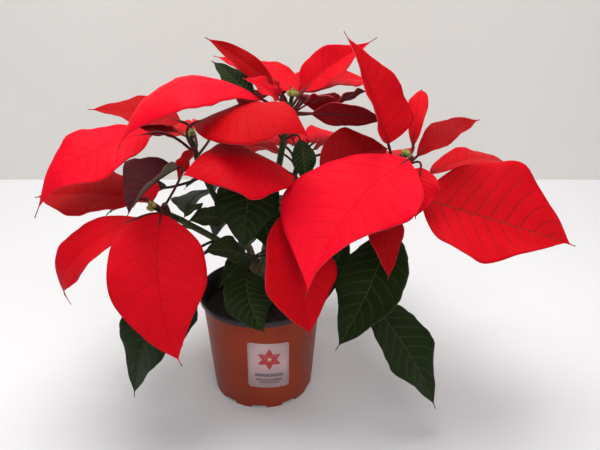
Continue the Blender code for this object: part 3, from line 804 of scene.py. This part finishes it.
def tube(name, points, radii, material, rounds=3):
    # A closed tube along the points: a bevelled poly curve turned into a mesh.
    curve = bpy.data.curves.new(name, "CURVE")
    curve.dimensions = "3D"
    curve.bevel_depth = mm
    curve.bevel_resolution = rounds
    curve.use_fill_caps = True
    run = curve.splines.new("POLY")
    run.points.add(len(points) - 1)
    for point, spot, radius in zip(run.points, points, radii):
        point.co = (*(np.array(spot) * mm), 1)
        point.radius = radius
    guide = bpy.data.objects.new(name, curve)
    scene.collection.objects.link(guide)
    graph = bpy.context.evaluated_depsgraph_get()
    shape = bmesh.new()
    shape.from_mesh(bpy.data.meshes.new_from_object(guide.evaluated_get(graph)))
    bpy.data.objects.remove(guide)
    bmesh.ops.remove_doubles(shape, verts=shape.verts, dist=0.00001)
    bmesh.ops.recalc_face_normals(shape, faces=shape.faces)
    return addMesh(name, shape, [material])


def stalkPiece(root, blade, material):
    # The stalk runs from its root into the blade's base, and on under the blade as its midrib.
    base, length = bladeFrame(blade)[:2]
    rib = unit(midrib(blade, 0.03) - base)
    reach = np.linalg.norm(base - root)
    knee = base - rib * bladeSet["stalkKnee"] * reach + np.array((0, 0, 0.05 * reach))
    arc = bend(rows(np.linspace(0, 1, bladeSet["stalkRows"])[:-1])[0], root, knee, base)
    share = np.linspace(bladeSet["stalkOverlap"] / length, bladeSet["ribEnd"], bladeSet["ribRows"])
    centre, up, _ = ribFrame(blade, share)
    thick = bladeSet["stalk"] * min(1.0, 0.45 + length / 140)
    least, more, power = bladeSet["ribThin"]
    radii = thick * (least + more * (1 - share) ** power)
    low = bladeSet["crease"] * fullness(blade) + 0.55 * radii
    low = low * np.clip((share * length - 2) / 10, 0, 1)
    under = centre - up * rows(low)[0]
    return tube("stalk", np.vstack([arc, under]), [thick] * len(arc) + list(radii), material)


def joinPieces(name, made):
    with bpy.context.temp_override(active_object=made[0], object=made[0],
                                   selected_objects=made, selected_editable_objects=made):
        bpy.ops.object.join()
    joined = made[0]
    joined.name = name
    joined.data.name = name
    return joined


def shootPoint(head, share):
    # The shoot passes through its "bend" half way.
    foot, middle, hub = (np.array(heads[head][key], float) for key in ("foot", "bend", "hub"))
    return bend(share, foot, 2 * middle - (foot + hub) / 2, hub)


def shootAxis(head):
    return unit(shootPoint(head, 1.0) - shootPoint(head, 0.96))


def hubOf(head):
    return np.array(heads[head]["hub"], float)


def bractRoots(head, count):
    top = hubOf(head) - shootAxis(head) * stubSet["below"]
    run = shootAxis(head) * (stubSet["length"] - stubSet["below"] - stubSet["above"])
    return [top - run * ((3 * i) % count) / count for i in range(count)]


def title(head):
    return "".join(word.capitalize() for word in head.split("_"))


def bladesOnStalks(blades, roots, kind, stalk, toothed):
    faces = [finish[kind + part] for part in ("Upper", "Under", "Edge")]
    made = []
    for blade, root in zip(blades, roots):
        made += [bladePiece(blade, faces, toothed), stalkPiece(root, blade, finish[stalk])]
    return made


def dressBracts(head):
    hub, axis = hubOf(head), shootAxis(head)
    made = [tube("stub", [hub - axis * stubSet["length"], hub - axis * 8, hub - axis * 2, hub],
                 [stubSet["radius"]] * 3 + [2.2], finish["shootSkin"], 5)]
    made += bladesOnStalks(bracts[head], bractRoots(head, len(bracts[head])), "bract", "redStalk", False)
    piece = joinPieces("bracts" + title(head), made)
    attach(piece, "root")
    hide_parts("bracts_" + head)


def dressShoot(head):
    hub, axis = hubOf(head), shootAxis(head)
    below = hub - axis * (stubSet["length"] + stubSet["gap"])
    foot = shootPoint(head, 0.0)
    start = unit(shootPoint(head, 0.06) - foot)
    top = 1 - (stubSet["length"] + 12) / np.linalg.norm(hub - foot)
    middle = [shootPoint(head, share) for share in np.linspace(0.08, top, 14)]
    points = [foot + start * stubSet["gap"], foot + start * 4, *middle, below - axis * 5, below]
    made = [tube("shoot", points, [stubSet["shoot"]] * len(points), finish["shootSkin"], 5)]
    roots = [shootPoint(head, min(blade["root"], top)) for blade in leaves[head]]
    made += bladesOnStalks(leaves[head], roots, "leaf", "greenStalk", True)
    piece = joinPieces("leaves" + title(head), made)
    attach(piece, "root")
    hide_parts("shoot_" + head)


def dressPurpleLeaf():
    hub, axis = hubOf("lower_left"), shootAxis("lower_left")
    outward = np.array(purpleLeaf["base"], float) - hub
    outward = unit(outward - axis * (outward @ axis))
    beside = hub + outward * (stubSet["radius"] + bladeSet["stalk"] + stubSet["gap"])
    made = bladesOnStalks([purpleLeaf], [beside - axis * 2], "purple", "redStalk", False)
    made.append(tube("stalkFoot", [beside - axis * 6, beside - axis * 2], [bladeSet["stalk"]] * 2,
                     finish["redStalk"]))
    piece = joinPieces("purpleLeaf", made)
    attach(piece, "root")
    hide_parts("purple_leaf")


for head in heads:
    dressBracts(head)
    dressShoot(head)
dressPurpleLeaf()
print("blades made:", len(heads), "heads")


# Buds at the middle of each head: green cups with a yellow gland and red threads at their mouths

budSet = {
    "radius": 2.5,
    "spread": 2.7,             # from the head's axis out to a bud
    "stalk": 7.0,
    "stalkRadius": 1.8,
    "count": 5,
    "cup": (0.8, 0.8, 1.15),   # a ball drawn out into a cup
    "mouth": 0.72,             # share of the radius above which the cup is pressed in
    "lift": 1.8,               # a cup's middle above the stalk's end
    "sway": 0.7,               # and how much that differs from cup to cup
    "gland": 0.85,             # radius
    "glandOut": 2.0,           # from the cup's middle
    "threads": 5,
    "threadRadius": 0.36,
    "threadUp": 2.4,           # from the cup's middle to the lowest threads
}

budSkin = {
    "colour": (0.17, 0.22, 0.05),
    "other": (0.36, 0.36, 0.07),
    "cloud": dict(Scale=260.0, Detail=3.0, Low=0.35, High=0.7),
    "roughness": 0.42,
    "grain": dict(Scale=1500.0, Detail=2.0),
    "relief": (0.3, 0.0002),
}

finish["budSkin"] = mottled("budSkin", budSkin)


def turnTo(direction):
    return Vector((0, 0, 1)).rotation_difference(Vector(direction)).to_matrix()


def ball(name, radius, squash, centre, material, segments=14, rings=10, hollow=False):
    shape = bmesh.new()
    bmesh.ops.create_uvsphere(shape, u_segments=segments, v_segments=rings, radius=radius)
    if hollow:
        mouth = [face for face in shape.faces
                 if face.calc_center_median().z > budSet["mouth"] * radius]
        bmesh.ops.inset_region(shape, faces=mouth, thickness=radius * 0.12)
        bmesh.ops.translate(shape, vec=(0, 0, -0.35 * radius),
                            verts=list({v for face in mouth for v in face.verts}))
    bmesh.ops.scale(shape, vec=squash, verts=shape.verts)
    bmesh.ops.translate(shape, vec=centre, verts=shape.verts)
    return addMesh(name, shape, [material])


def dressBuds(head):
    rnd = random.Random("buds " + head)
    turn = turnTo(shootAxis(head)).to_4x4()
    height = budSet["stalk"]
    made = [tube("budStalk", [(0, 0, stubSet["gap"]), (0, 0, height * 0.6), (0, 0, height + 0.3)],
                 [budSet["stalkRadius"]] * 2 + [2.3], finish["shootSkin"], 4)]
    made[0].data.transform(Matrix.Scale(1 / mm, 4))  # back to millimetres, like the balls below
    for i in range(budSet["count"]):
        last = i == budSet["count"] - 1
        angle = 2 * math.pi * i / (budSet["count"] - 1)
        spread = 0.0 if last else budSet["spread"]
        lift = height + budSet["lift"] + budSet["sway"] * math.sin(2.4 * i)
        spot = Vector((spread * math.cos(angle), spread * math.sin(angle), lift))
        made.append(ball("cup", budSet["radius"], budSet["cup"], spot, finish["budSkin"], hollow=True))
        if not last:
            beside = spot + Vector((math.cos(angle), math.sin(angle), 0.35)) * budSet["glandOut"]
            made.append(ball("gland", budSet["gland"], (1, 1, 0.6), beside, finish["gland"], 10, 6))
        for _ in range(budSet["threads"]):
            aside = Vector((rnd.uniform(-0.8, 0.8), rnd.uniform(-0.8, 0.8),
                            budSet["threadUp"] + rnd.uniform(0, 0.7)))
            made.append(ball("thread", budSet["threadRadius"], (1, 1, 1.8), spot + aside,
                             finish["thread"], 6, 4))
    piece = joinPieces("buds" + title(head), made)
    hub = Vector(heads[head]["hub"])
    piece.data.transform(Matrix.Scale(mm, 4) @ Matrix.Translation(hub) @ turn)
    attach(piece, "root")
    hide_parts("cyathia_" + head)


for head in heads:
    dressBuds(head)
print("buds made")


# Woody stem and its forks

stem = {
    "radius": 5.5,
    "top": 128.0,
    "soil": 88.0,      # height of the peat
    "depth": 34.0,     # how far it reaches into the peat
    "fork": 3.4,       # radius of a fork where it meets its shoot's foot
    "forkDrop": 4.0,   # the highest fork below the stem's top
    "forkStep": 1.5,   # and each further one below that
    "clear": 6.0,      # above the peat, from where the stem sways
    "sway": 0.5,
}


bark = {
    "colour": (0.085, 0.060, 0.030),
    "other": (0.20, 0.16, 0.09),
    "cloud": dict(Scale=300.0, Detail=5.0, Stretch=(1, 1, 0.2), Low=0.35, High=0.65),
    "spots": [
        ((0.26, 0.22, 0.14), dict(Scale=500.0, Detail=2.0, Low=0.6, High=0.72)),
    ],
    "roughness": 0.85,
    "grain": dict(Scale=300.0, Detail=5.0, Stretch=(1, 1, 0.2)),
    "relief": (0.8, 0.0008),
}

finish["bark"] = mottled("bark", bark)


def dressStem():
    radius, low = stem["radius"], stem["soil"] - stem["depth"] + stubSet["gap"]
    levels = np.linspace(low, stem["top"], 18)
    spots, girth = [], []
    for z in levels:
        free = z > stem["soil"] + stem["clear"]
        sway = stem["sway"] if free else 0.0
        spots.append((sway * math.sin(z / 9), sway * math.cos(z / 7), z))
        girth.append(radius * (0.90 + 0.05 * math.sin(z * 0.7)) if free else radius)
    made = [tube("stem", spots, girth, finish["bark"], 6)]
    for i, head in enumerate(heads):
        foot = np.array(heads[head]["foot"], float)
        leave = unit(shootPoint(head, 0.06) - foot)
        start = np.array((0, 0, stem["top"] - stem["forkDrop"] - stem["forkStep"] * i))
        knee = start * 0.45 + foot * 0.55 - np.array((0, 0, 4))
        arc = bend(rows(np.linspace(0, 1, 8))[0], start, knee, foot - leave * 5)
        radii = list(np.linspace(stem["fork"] * 1.15, stem["fork"], 8)) + [stubSet["shoot"]]
        made.append(tube("fork", [*arc, foot], radii, finish["bark"], 5))
    piece = joinPieces("woodyStem", made)
    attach(piece, "root")
    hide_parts("stem")


dressStem()
print("stem made")


# Pot: a turned wall with a thick lip, notched round its foot

pot = {
    "height": 106.0,
    "rim": 60.0,
    "foot": 48.3,
    "neck": 56.2,
    "lip": 6.0,
    "lipRound": 1.1,
    "neckRound": 1.0,      # below the lip, where the wall begins
    "footRound": 1.5,      # above the table, where it ends
    "ledge": (7.0, 6.4, 0.25),   # a faint step above the foot: its top, its bottom and its depth
    "wall": 1.6,
    "floor": 3.0,
    "steps": 144,
    "drains": 10,
    "firstDrain": -93.0,   # degrees
    "drainWidth": 15.0,
    "drainHeight": 3.5,
    "drainRound": 2.4,
    "drainReach": 16.0,
}


def innerRadius(height):
    taper = (pot["neck"] - pot["foot"]) / (pot["height"] - pot["lip"] - pot["floor"])
    return pot["foot"] - pot["wall"] + taper * (height - pot["floor"])


def outerRadius(height):
    low, high = pot["footRound"], pot["height"] - pot["lip"] - pot["neckRound"]
    return pot["foot"] + (pot["neck"] - pot["foot"]) * (height - low) / (high - low)


def turned(profile, steps):
    # A closed outline of (radius, height) pairs, spun about Z.
    shape = bmesh.new()
    verts = [shape.verts.new((radius * mm, 0, height * mm)) for radius, height in profile]
    edges = [shape.edges.new(pair) for pair in zip(verts, verts[1:])]
    bmesh.ops.spin(shape, geom=verts + edges, cent=(0, 0, 0), axis=(0, 0, 1), dvec=(0, 0, 0),
                   angle=2 * math.pi, steps=steps, use_merge=True)
    bmesh.ops.remove_doubles(shape, verts=shape.verts, dist=0.00002)
    bmesh.ops.recalc_face_normals(shape, faces=shape.faces)
    return shape


terracotta = {
    "colour": (0.22, 0.026, 0.007),
    "other": (0.29, 0.036, 0.011),
    "cloud": dict(Scale=26.0, Detail=4.0, Low=0.3, High=0.7),
    "spots": [
        ((0.34, 0.10, 0.06),
         dict(Scale=130.0, Detail=6.0, Stretch=(1, 1, 0.5), Low=0.66, High=0.80, Amount=0.30)),
        ((0.18, 0.026, 0.008), dict(Scale=420.0, Detail=5.0, Low=0.60, High=0.72, Amount=0.35)),
    ],
    "roughness": 0.36,
    "roughVary": 0.16,
    "specular": 0.15,
    "grain": dict(Scale=700.0, Detail=3.0),
    "relief": (0.12, 0.0003),
}

darkPlastic = {
    "colour": (0.016, 0.011, 0.013),
    "other": (0.034, 0.024, 0.029),
    "cloud": dict(Scale=40.0, Detail=4.0, Low=0.3, High=0.7),
    "spots": [
        ((0.055, 0.040, 0.038), dict(Scale=520.0, Detail=5.0, Low=0.58, High=0.75, Amount=0.5)),
    ],
    "roughness": 0.30,
    "roughVary": 0.2,
    "specular": 0.25,
    "grain": dict(Scale=700.0, Detail=3.0),
    "relief": (0.15, 0.0003),
}

finish["terracotta"] = mottled("terracottaPlastic", terracotta)
finish["dark"] = mottled("darkPlastic", darkPlastic)


def cutDrains(made):
    cutters = bpy.data.collections.new("drainCutters")
    scene.collection.children.link(cutters)
    for i in range(pot["drains"]):
        shape = bmesh.new()
        bmesh.ops.create_cube(shape, size=1.0)
        # The two upper edges that run outwards are rounded.
        sides = [edge for edge in shape.edges
                 if all(abs(v.co.z - 0.5) < 0.01 for v in edge.verts)
                 and abs(edge.verts[0].co.y - edge.verts[1].co.y) < 0.01]
        bmesh.ops.scale(shape, vec=(pot["drainReach"], pot["drainWidth"], 2 * pot["drainHeight"]),
                        verts=shape.verts)
        bmesh.ops.bevel(shape, geom=sides, offset=pot["drainRound"], offset_type="OFFSET",
                        affect="EDGES", segments=6, profile=0.5, material=-1)
        bmesh.ops.translate(shape, vec=(pot["foot"], 0, 0), verts=shape.verts)
        turnShape(shape, math.radians(pot["firstDrain"] + 360 * i / pot["drains"]), "Z")
        bmesh.ops.scale(shape, vec=(mm, mm, mm), verts=shape.verts)
        cutter = addMesh("drainCutter", shape, [])
        scene.collection.objects.unlink(cutter)
        cutters.objects.link(cutter)
    cut = made.modifiers.new("drains", "BOOLEAN")
    cut.operation = "DIFFERENCE"
    cut.operand_type = "COLLECTION"
    cut.collection = cutters
    cut.solver = "EXACT"
    settle(made)
    for cutter in list(cutters.objects):
        bpy.data.objects.remove(cutter)
    bpy.data.collections.remove(cutters)


def dressPot():
    neck, top, rim, curve = pot["height"] - pot["lip"], pot["height"], pot["rim"], pot["lipRound"]
    arc = [(rim - curve + curve * math.cos(t), top - curve + curve * math.sin(t))
           for t in np.linspace(math.pi / 2, 0, 5)]
    above, below, inset = pot["ledge"]
    profile = [
        (0, pot["floor"]),
        (innerRadius(pot["floor"]) - 2, pot["floor"]),
        (innerRadius(pot["floor"]), pot["floor"] + 2),
        (innerRadius(neck), neck),
        (rim - 2 * curve, top),
        *arc,
        (rim - 0.4, neck + 0.6),
        (rim - 1.2, neck),
        (pot["neck"] + 0.3, neck - 0.2),
        (pot["neck"], neck - pot["neckRound"]),
        (outerRadius(above), above),
        (outerRadius(below) - inset, below),
        (pot["foot"] - 0.1, pot["footRound"]),
        (pot["foot"] - 0.5, 0.5),
        (pot["foot"] - 1.5, 0),
        (0, 0),
    ]
    made = addMesh("pot", turned(profile, pot["steps"]), [finish["terracotta"], finish["dark"]])
    cutDrains(made)
    made.name = "pottedWall"
    for face in made.data.polygons:
        middle = face.center / mm
        outside = math.hypot(middle.x, middle.y) > innerRadius(middle.z) + 0.4
        outside = outside or middle.z < pot["floor"] - 0.1
        face.material_index = 0 if outside and middle.z < neck - 0.1 else 1
    made.data.set_sharp_from_angle(angle=math.radians(32))
    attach(made, "root")
    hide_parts("pot")


dressPot()
print("pot made")


# Label and the small moulded mark, printed and raised on the pot's wall. The mark's dark ring is
# painted shade and its pale middle a painted highlight.

label = {
    "angle": 9.0,      # degrees round from the front, to the right
    "low": 26.5,
    "high": 79.5,
    "half": 19.8,      # half width
    "corner": 3.2,
    "drop": 2.0,       # how much lower its right side stands
    "lift": 0.12,
    "paper": 0.12,     # thickness
    "ink": 0.10,       # how far the print stands off the paper
    "inkThick": 0.06,
    "layer": 0.07,     # from one ring of the flower to the next
    "eye": 1.9,        # radius of the flower's yellow eye
    "petals": [(6, 1.0, 4.2), (6, 0.62, 3.0)],   # how many, length in flower radii, width
    "flower": (0.5, 61.0, 12.5),   # across, height, radius
    "bars": [(0.3, 42.0, 27.0, 3.6), (0.3, 36.4, 25.0, 1.9), (0.3, 33.2, 19.0, 1.5)],
    "mark": (74.0, 14.5, 2.3, 3.6),    # angle, height, half width, half height
}


def onWall(shape, angle, lift, drop=0.0):
    # Wraps a flat shape, drawn in X across and Z up, on the pot's wall.
    for vert in shape.verts:
        across, height = vert.co.x, vert.co.z - drop * vert.co.x / label["half"]
        radius = outerRadius(height) + lift
        turn = math.radians(angle - 90) + across / radius
        vert.co = Vector((radius * math.cos(turn), radius * math.sin(turn), height)) * mm


def flatShape(build, step=1.6):
    # A flat outline cut into narrow upright strips, so that it can wrap round.
    shape = bmesh.new()
    build(shape)
    turnShape(shape, math.pi / 2, "X")
    reach = max(abs(vert.co.x) for vert in shape.verts)
    for cut in np.arange(-reach + step / 2, reach, step):
        bmesh.ops.bisect_plane(shape, geom=shape.verts[:] + shape.edges[:] + shape.faces[:],
                               plane_co=(cut, 0, 0), plane_no=(1, 0, 0))
    return shape


def decal(name, build, middle, angle, lift, thickness, material, drop=0.0):
    shape = flatShape(build)
    bmesh.ops.translate(shape, vec=(middle[0], 0, middle[1]), verts=shape.verts)
    onWall(shape, angle, lift, drop)
    bmesh.ops.recalc_face_normals(shape, faces=shape.faces)
    return thicken(addMesh(name, shape, [material]), thickness)


def plate(width, height, corner):
    def build(shape):
        bmesh.ops.create_grid(shape, x_segments=1, y_segments=1, size=0.5)
        bmesh.ops.scale(shape, vec=(width, height, 1), verts=shape.verts)
        bmesh.ops.bevel(shape, geom=shape.verts[:], offset=corner, offset_type="OFFSET",
                        affect="VERTICES", segments=6, profile=0.5, material=-1)
    return build


def petal(length, width, turn):
    # A disc drawn out from its root at the flower's middle to a narrow tip.
    def build(shape):
        bmesh.ops.create_circle(shape, cap_ends=True, segments=24, radius=1.0)
        for vert in shape.verts:
            share = (vert.co.x + 1) / 2
            vert.co.y *= width * (1 - share ** 2.2) * (0.35 + share)
            vert.co.x = share * length
        turnShape(shape, turn, "Z")
    return build


def disc(width, height):
    def build(shape):
        bmesh.ops.create_circle(shape, cap_ends=True, segments=32, radius=1.0)
        bmesh.ops.scale(shape, vec=(width, height, 1), verts=shape.verts)
    return build


# Each ink's colour, and the one it has worn to. The mark's two colours are painted shade (the ring)
# and a painted highlight (the middle).
inksAndPaintedMark = {
    "labelPaper": ((0.50, 0.34, 0.35), (0.40, 0.25, 0.26)),
    "labelRed": ((0.45, 0.022, 0.035), (0.50, 0.10, 0.10)),
    "labelGrey": ((0.13, 0.10, 0.11), (0.26, 0.20, 0.22)),
    "labelGold": ((0.62, 0.45, 0.20), (0.60, 0.45, 0.28)),
    "markShadeRing": ((0.12, 0.030, 0.015), (0.20, 0.05, 0.025)),
    "markHighlight": ((0.46, 0.20, 0.13), (0.36, 0.12, 0.07)),
}

for name, (colour, worn) in inksAndPaintedMark.items():
    finish[name] = mottled(name, {
        "colour": colour,
        "other": worn,
        "cloud": dict(Scale=90.0, Detail=4.0, Low=0.35, High=0.7, Amount=0.4),
        "spots": [(worn, dict(Scale=900.0, Detail=5.0, Low=0.55, High=0.75, Amount=0.6))],
        "roughness": 0.4,
        "roughVary": 0.2,
    })


def dressLabel():
    angle, drop, lift = label["angle"], label["drop"], label["lift"]
    middle = (label["low"] + label["high"]) / 2
    height = label["high"] - label["low"]
    made = [decal("label", plate(2 * label["half"], height, label["corner"]), (0, middle), angle, lift,
                  label["paper"], finish["labelPaper"], drop)]
    across, up, size = label["flower"]
    for ring, (count, length, width) in enumerate(label["petals"]):
        for i in range(count):
            turn = 2 * math.pi * (i + 0.5 * ring) / count + math.pi / 2
            made.append(decal("petal", petal(size * length, width, turn), (across, up), angle,
                              lift + label["ink"] + label["layer"] * ring, label["inkThick"],
                              finish["labelRed"], drop))
    made.append(decal("eye", disc(label["eye"], label["eye"]), (across, up), angle,
                      lift + label["ink"] + 2 * label["layer"], label["inkThick"],
                      finish["labelGold"], drop))
    for x, z, width, tall in label["bars"]:
        made.append(decal("bar", plate(width, tall, tall * 0.3), (x, z), angle, lift + label["ink"],
                          label["inkThick"], finish["labelGrey"], drop))
    piece = joinPieces("potLabel", made)
    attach(piece, "root")

    angle, height, wide, tall = label["mark"]
    # A dark ring, painted shade, round a pale middle, a painted highlight.
    made = [decal("ring", disc(wide, tall), (0, height), angle, 0.06, 0.2, finish["markShadeRing"]),
            decal("inside", disc(wide * 0.62, tall * 0.68), (0, height), angle, 0.16, 0.1,
                  finish["markHighlight"])]
    piece = joinPieces("mouldMark", made)
    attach(piece, "root")


dressLabel()
print("label made")


# Peat: a rough turned fill with loose crumbs on it

peat = {
    "top": stem["soil"],
    "steps": 96,
    "grit": 0.35,      # how far a point of the surface may lie above or below it
    "sunk": 1.5,       # how far the surface dips round the stem
    "crumbs": {"peat": (420, 0.7, 2.4), "perlite": (26, 0.6, 1.3)},   # how many, least and greatest size
}

peatSkin = {
    "colour": (0.010, 0.006, 0.004),
    "other": (0.045, 0.027, 0.016),
    "cloud": dict(Scale=380.0, Detail=6.0, Low=0.35, High=0.7),
    "spots": [
        ((0.11, 0.07, 0.035),
         dict(Scale=900.0, Detail=3.0, Stretch=(1, 0.2, 1), Low=0.66, High=0.75, Amount=0.8)),
    ],
    "roughness": 0.92,
    "grain": dict(Scale=380.0, Detail=6.0),
    "relief": (1.0, 0.002),
}

finish["peat"] = mottled("peat", peatSkin)


def peatHeight(x, y):
    # Slow and quick lumps, and a fall towards the pot's wall.
    radius, angle = math.hypot(x, y), math.atan2(y, x)
    slow = 1.4 * math.sin(5 * angle + radius * 0.4) * math.cos(0.3 * radius + 2 * angle)
    quick = 0.9 * math.sin(0.9 * x + 1.3 * math.sin(0.5 * y))
    quick = quick * math.cos(0.8 * y - 0.7 * math.sin(0.6 * x))
    return peat["top"] - 0.6 - 2.0 * (radius / 52) ** 4 + slow * 0.8 + quick * 0.7


def dressPeat():
    rnd = random.Random(11)
    low = pot["floor"] + stubSet["gap"] + 2
    hole = stem["radius"] + stubSet["gap"]
    lowRadius, edge = innerRadius(low) - stubSet["gap"], innerRadius(peat["top"] - 3) - stubSet["gap"]
    inner = [(radius, peat["top"]) for radius in np.linspace(hole, edge, 30)]
    profile = [(0, peat["top"] - stem["depth"]), (hole, peat["top"] - stem["depth"]), *inner,
               (lowRadius, low), (lowRadius - 2, low - 2), (0, low - 2)]
    shape = turned(profile, peat["steps"])
    around = peat["top"] - peat["sunk"]
    for vert in shape.verts:
        if vert.co.z > (peat["top"] - 1) * mm:
            x, y = vert.co.x / mm, vert.co.y / mm
            grit = rnd.uniform(-peat["grit"], peat["grit"])
            keep = min(1.0, (math.hypot(x, y) - hole) / 4)
            vert.co.z = mm * (around + keep * (peatHeight(x, y) - around + grit))
    made = [addMesh("peatBody", shape, [finish["peat"]])]
    for kind, (count, least, most) in peat["crumbs"].items():
        shape = bmesh.new()
        for _ in range(count):
            radius = math.sqrt(rnd.uniform((hole + 3) ** 2, (edge - 3) ** 2))
            angle = rnd.uniform(0, 2 * math.pi)
            x, y = radius * math.cos(angle), radius * math.sin(angle)
            radius = rnd.uniform(least, most) / 2
            grown = bmesh.ops.create_icosphere(shape, subdivisions=1, radius=radius)["verts"]
            for vert in grown:
                vert.co *= rnd.uniform(0.75, 1.25)
            bmesh.ops.scale(shape, vec=(1, rnd.uniform(0.5, 1), rnd.uniform(0.4, 0.8)), verts=grown)
            turnShape(shape, rnd.uniform(0, 3), "Z", grown)
            bmesh.ops.translate(shape, vec=(x, y, peatHeight(x, y) + 0.2), verts=grown)
        bmesh.ops.scale(shape, vec=(mm, mm, mm), verts=shape.verts)
        made.append(addMesh(kind + "Crumbs", shape, [finish[kind]]))
    piece = joinPieces("peatFill", made)
    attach(piece, "root")
    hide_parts("soil")


dressPeat()
print("peat made")


# Floor, wall and light

studio = {
    "floor": (0.77, 0.77, 0.79),
    "wall": (0.74, 0.72, 0.69),
    "wallPlace": 0.53,
    "size": 6.0,
    "sky": (0.97, 0.97, 1.0),
    "skyStrength": 0.36,
    "lights": [
        # name, place, aim, size, watts, colour
        ("keyLight", (-0.12, 0.12, 1.40), (0.0, 0.0, 0.2), 1.0, 16.0, (1.0, 0.98, 0.96)),
        ("fillLight", (0.3, -1.5, 1.3), (0.0, -0.2, 0.1), 1.4, 14.0, (1.0, 0.98, 0.96)),
    ],
}


paint = {
    "cloud": dict(Scale=2.2, Detail=3.0, Low=0.3, High=0.7),
    "darker": 0.96,
    "roughness": 0.7,
}


def stageMaterial(name, colour):
    darker = tuple(paint["darker"] * part for part in colour)
    return mottled(name, {"colour": colour, "other": darker, **paint})


def clearFromBehind(material):
    # Lets a view from behind the wall pass through it.
    tree = material.node_tree
    clear = tree.nodes.new("ShaderNodeBsdfTransparent")
    choose = tree.nodes.new("ShaderNodeMixShader")
    facing = tree.nodes.new("ShaderNodeNewGeometry")
    tree.links.new(facing.outputs["Backfacing"], choose.inputs["Fac"])
    tree.links.new(tree.nodes["Principled BSDF"].outputs["BSDF"], choose.inputs[1])
    tree.links.new(clear.outputs["BSDF"], choose.inputs[2])
    tree.links.new(choose.outputs["Shader"], tree.nodes["Material Output"].inputs["Surface"])


def stagePlane(name, colour, standing=False):
    shape = bmesh.new()
    bmesh.ops.create_grid(shape, x_segments=2, y_segments=2, size=studio["size"] / 2)
    if standing:
        turnShape(shape, math.pi / 2, "X")
        bmesh.ops.translate(shape, vec=(0, studio["wallPlace"], 0), verts=shape.verts)
    return addMesh(name, shape, [stageMaterial(name + "Paint", colour)])


def makeStage():
    floor = stagePlane("floor", studio["floor"])
    wall = stagePlane("wall", studio["wall"], standing=True)
    clearFromBehind(wall.data.materials[0])


def makeLights():
    world = bpy.data.worlds.new("studio")
    world.use_nodes = True
    sky = world.node_tree.nodes["Background"]
    sky.inputs["Color"].default_value = (*studio["sky"], 1)
    sky.inputs["Strength"].default_value = studio["skyStrength"]
    scene.world = world
    for name, spot, aim, size, watts, colour in studio["lights"]:
        lamp = bpy.data.lights.new(name, "AREA")
        lamp.shape = "DISK"
        lamp.size = size
        lamp.energy = watts
        lamp.color = colour
        made = bpy.data.objects.new(name, lamp)
        made.location = spot
        made.rotation_euler = (Vector(aim) - Vector(spot)).to_track_quat("-Z", "Y").to_euler()
        scene.collection.objects.link(made)


makeStage()
makeLights()
print("stage and lights made")

for material in bpy.data.materials:
    if material.users == 0:
        bpy.data.materials.remove(material)
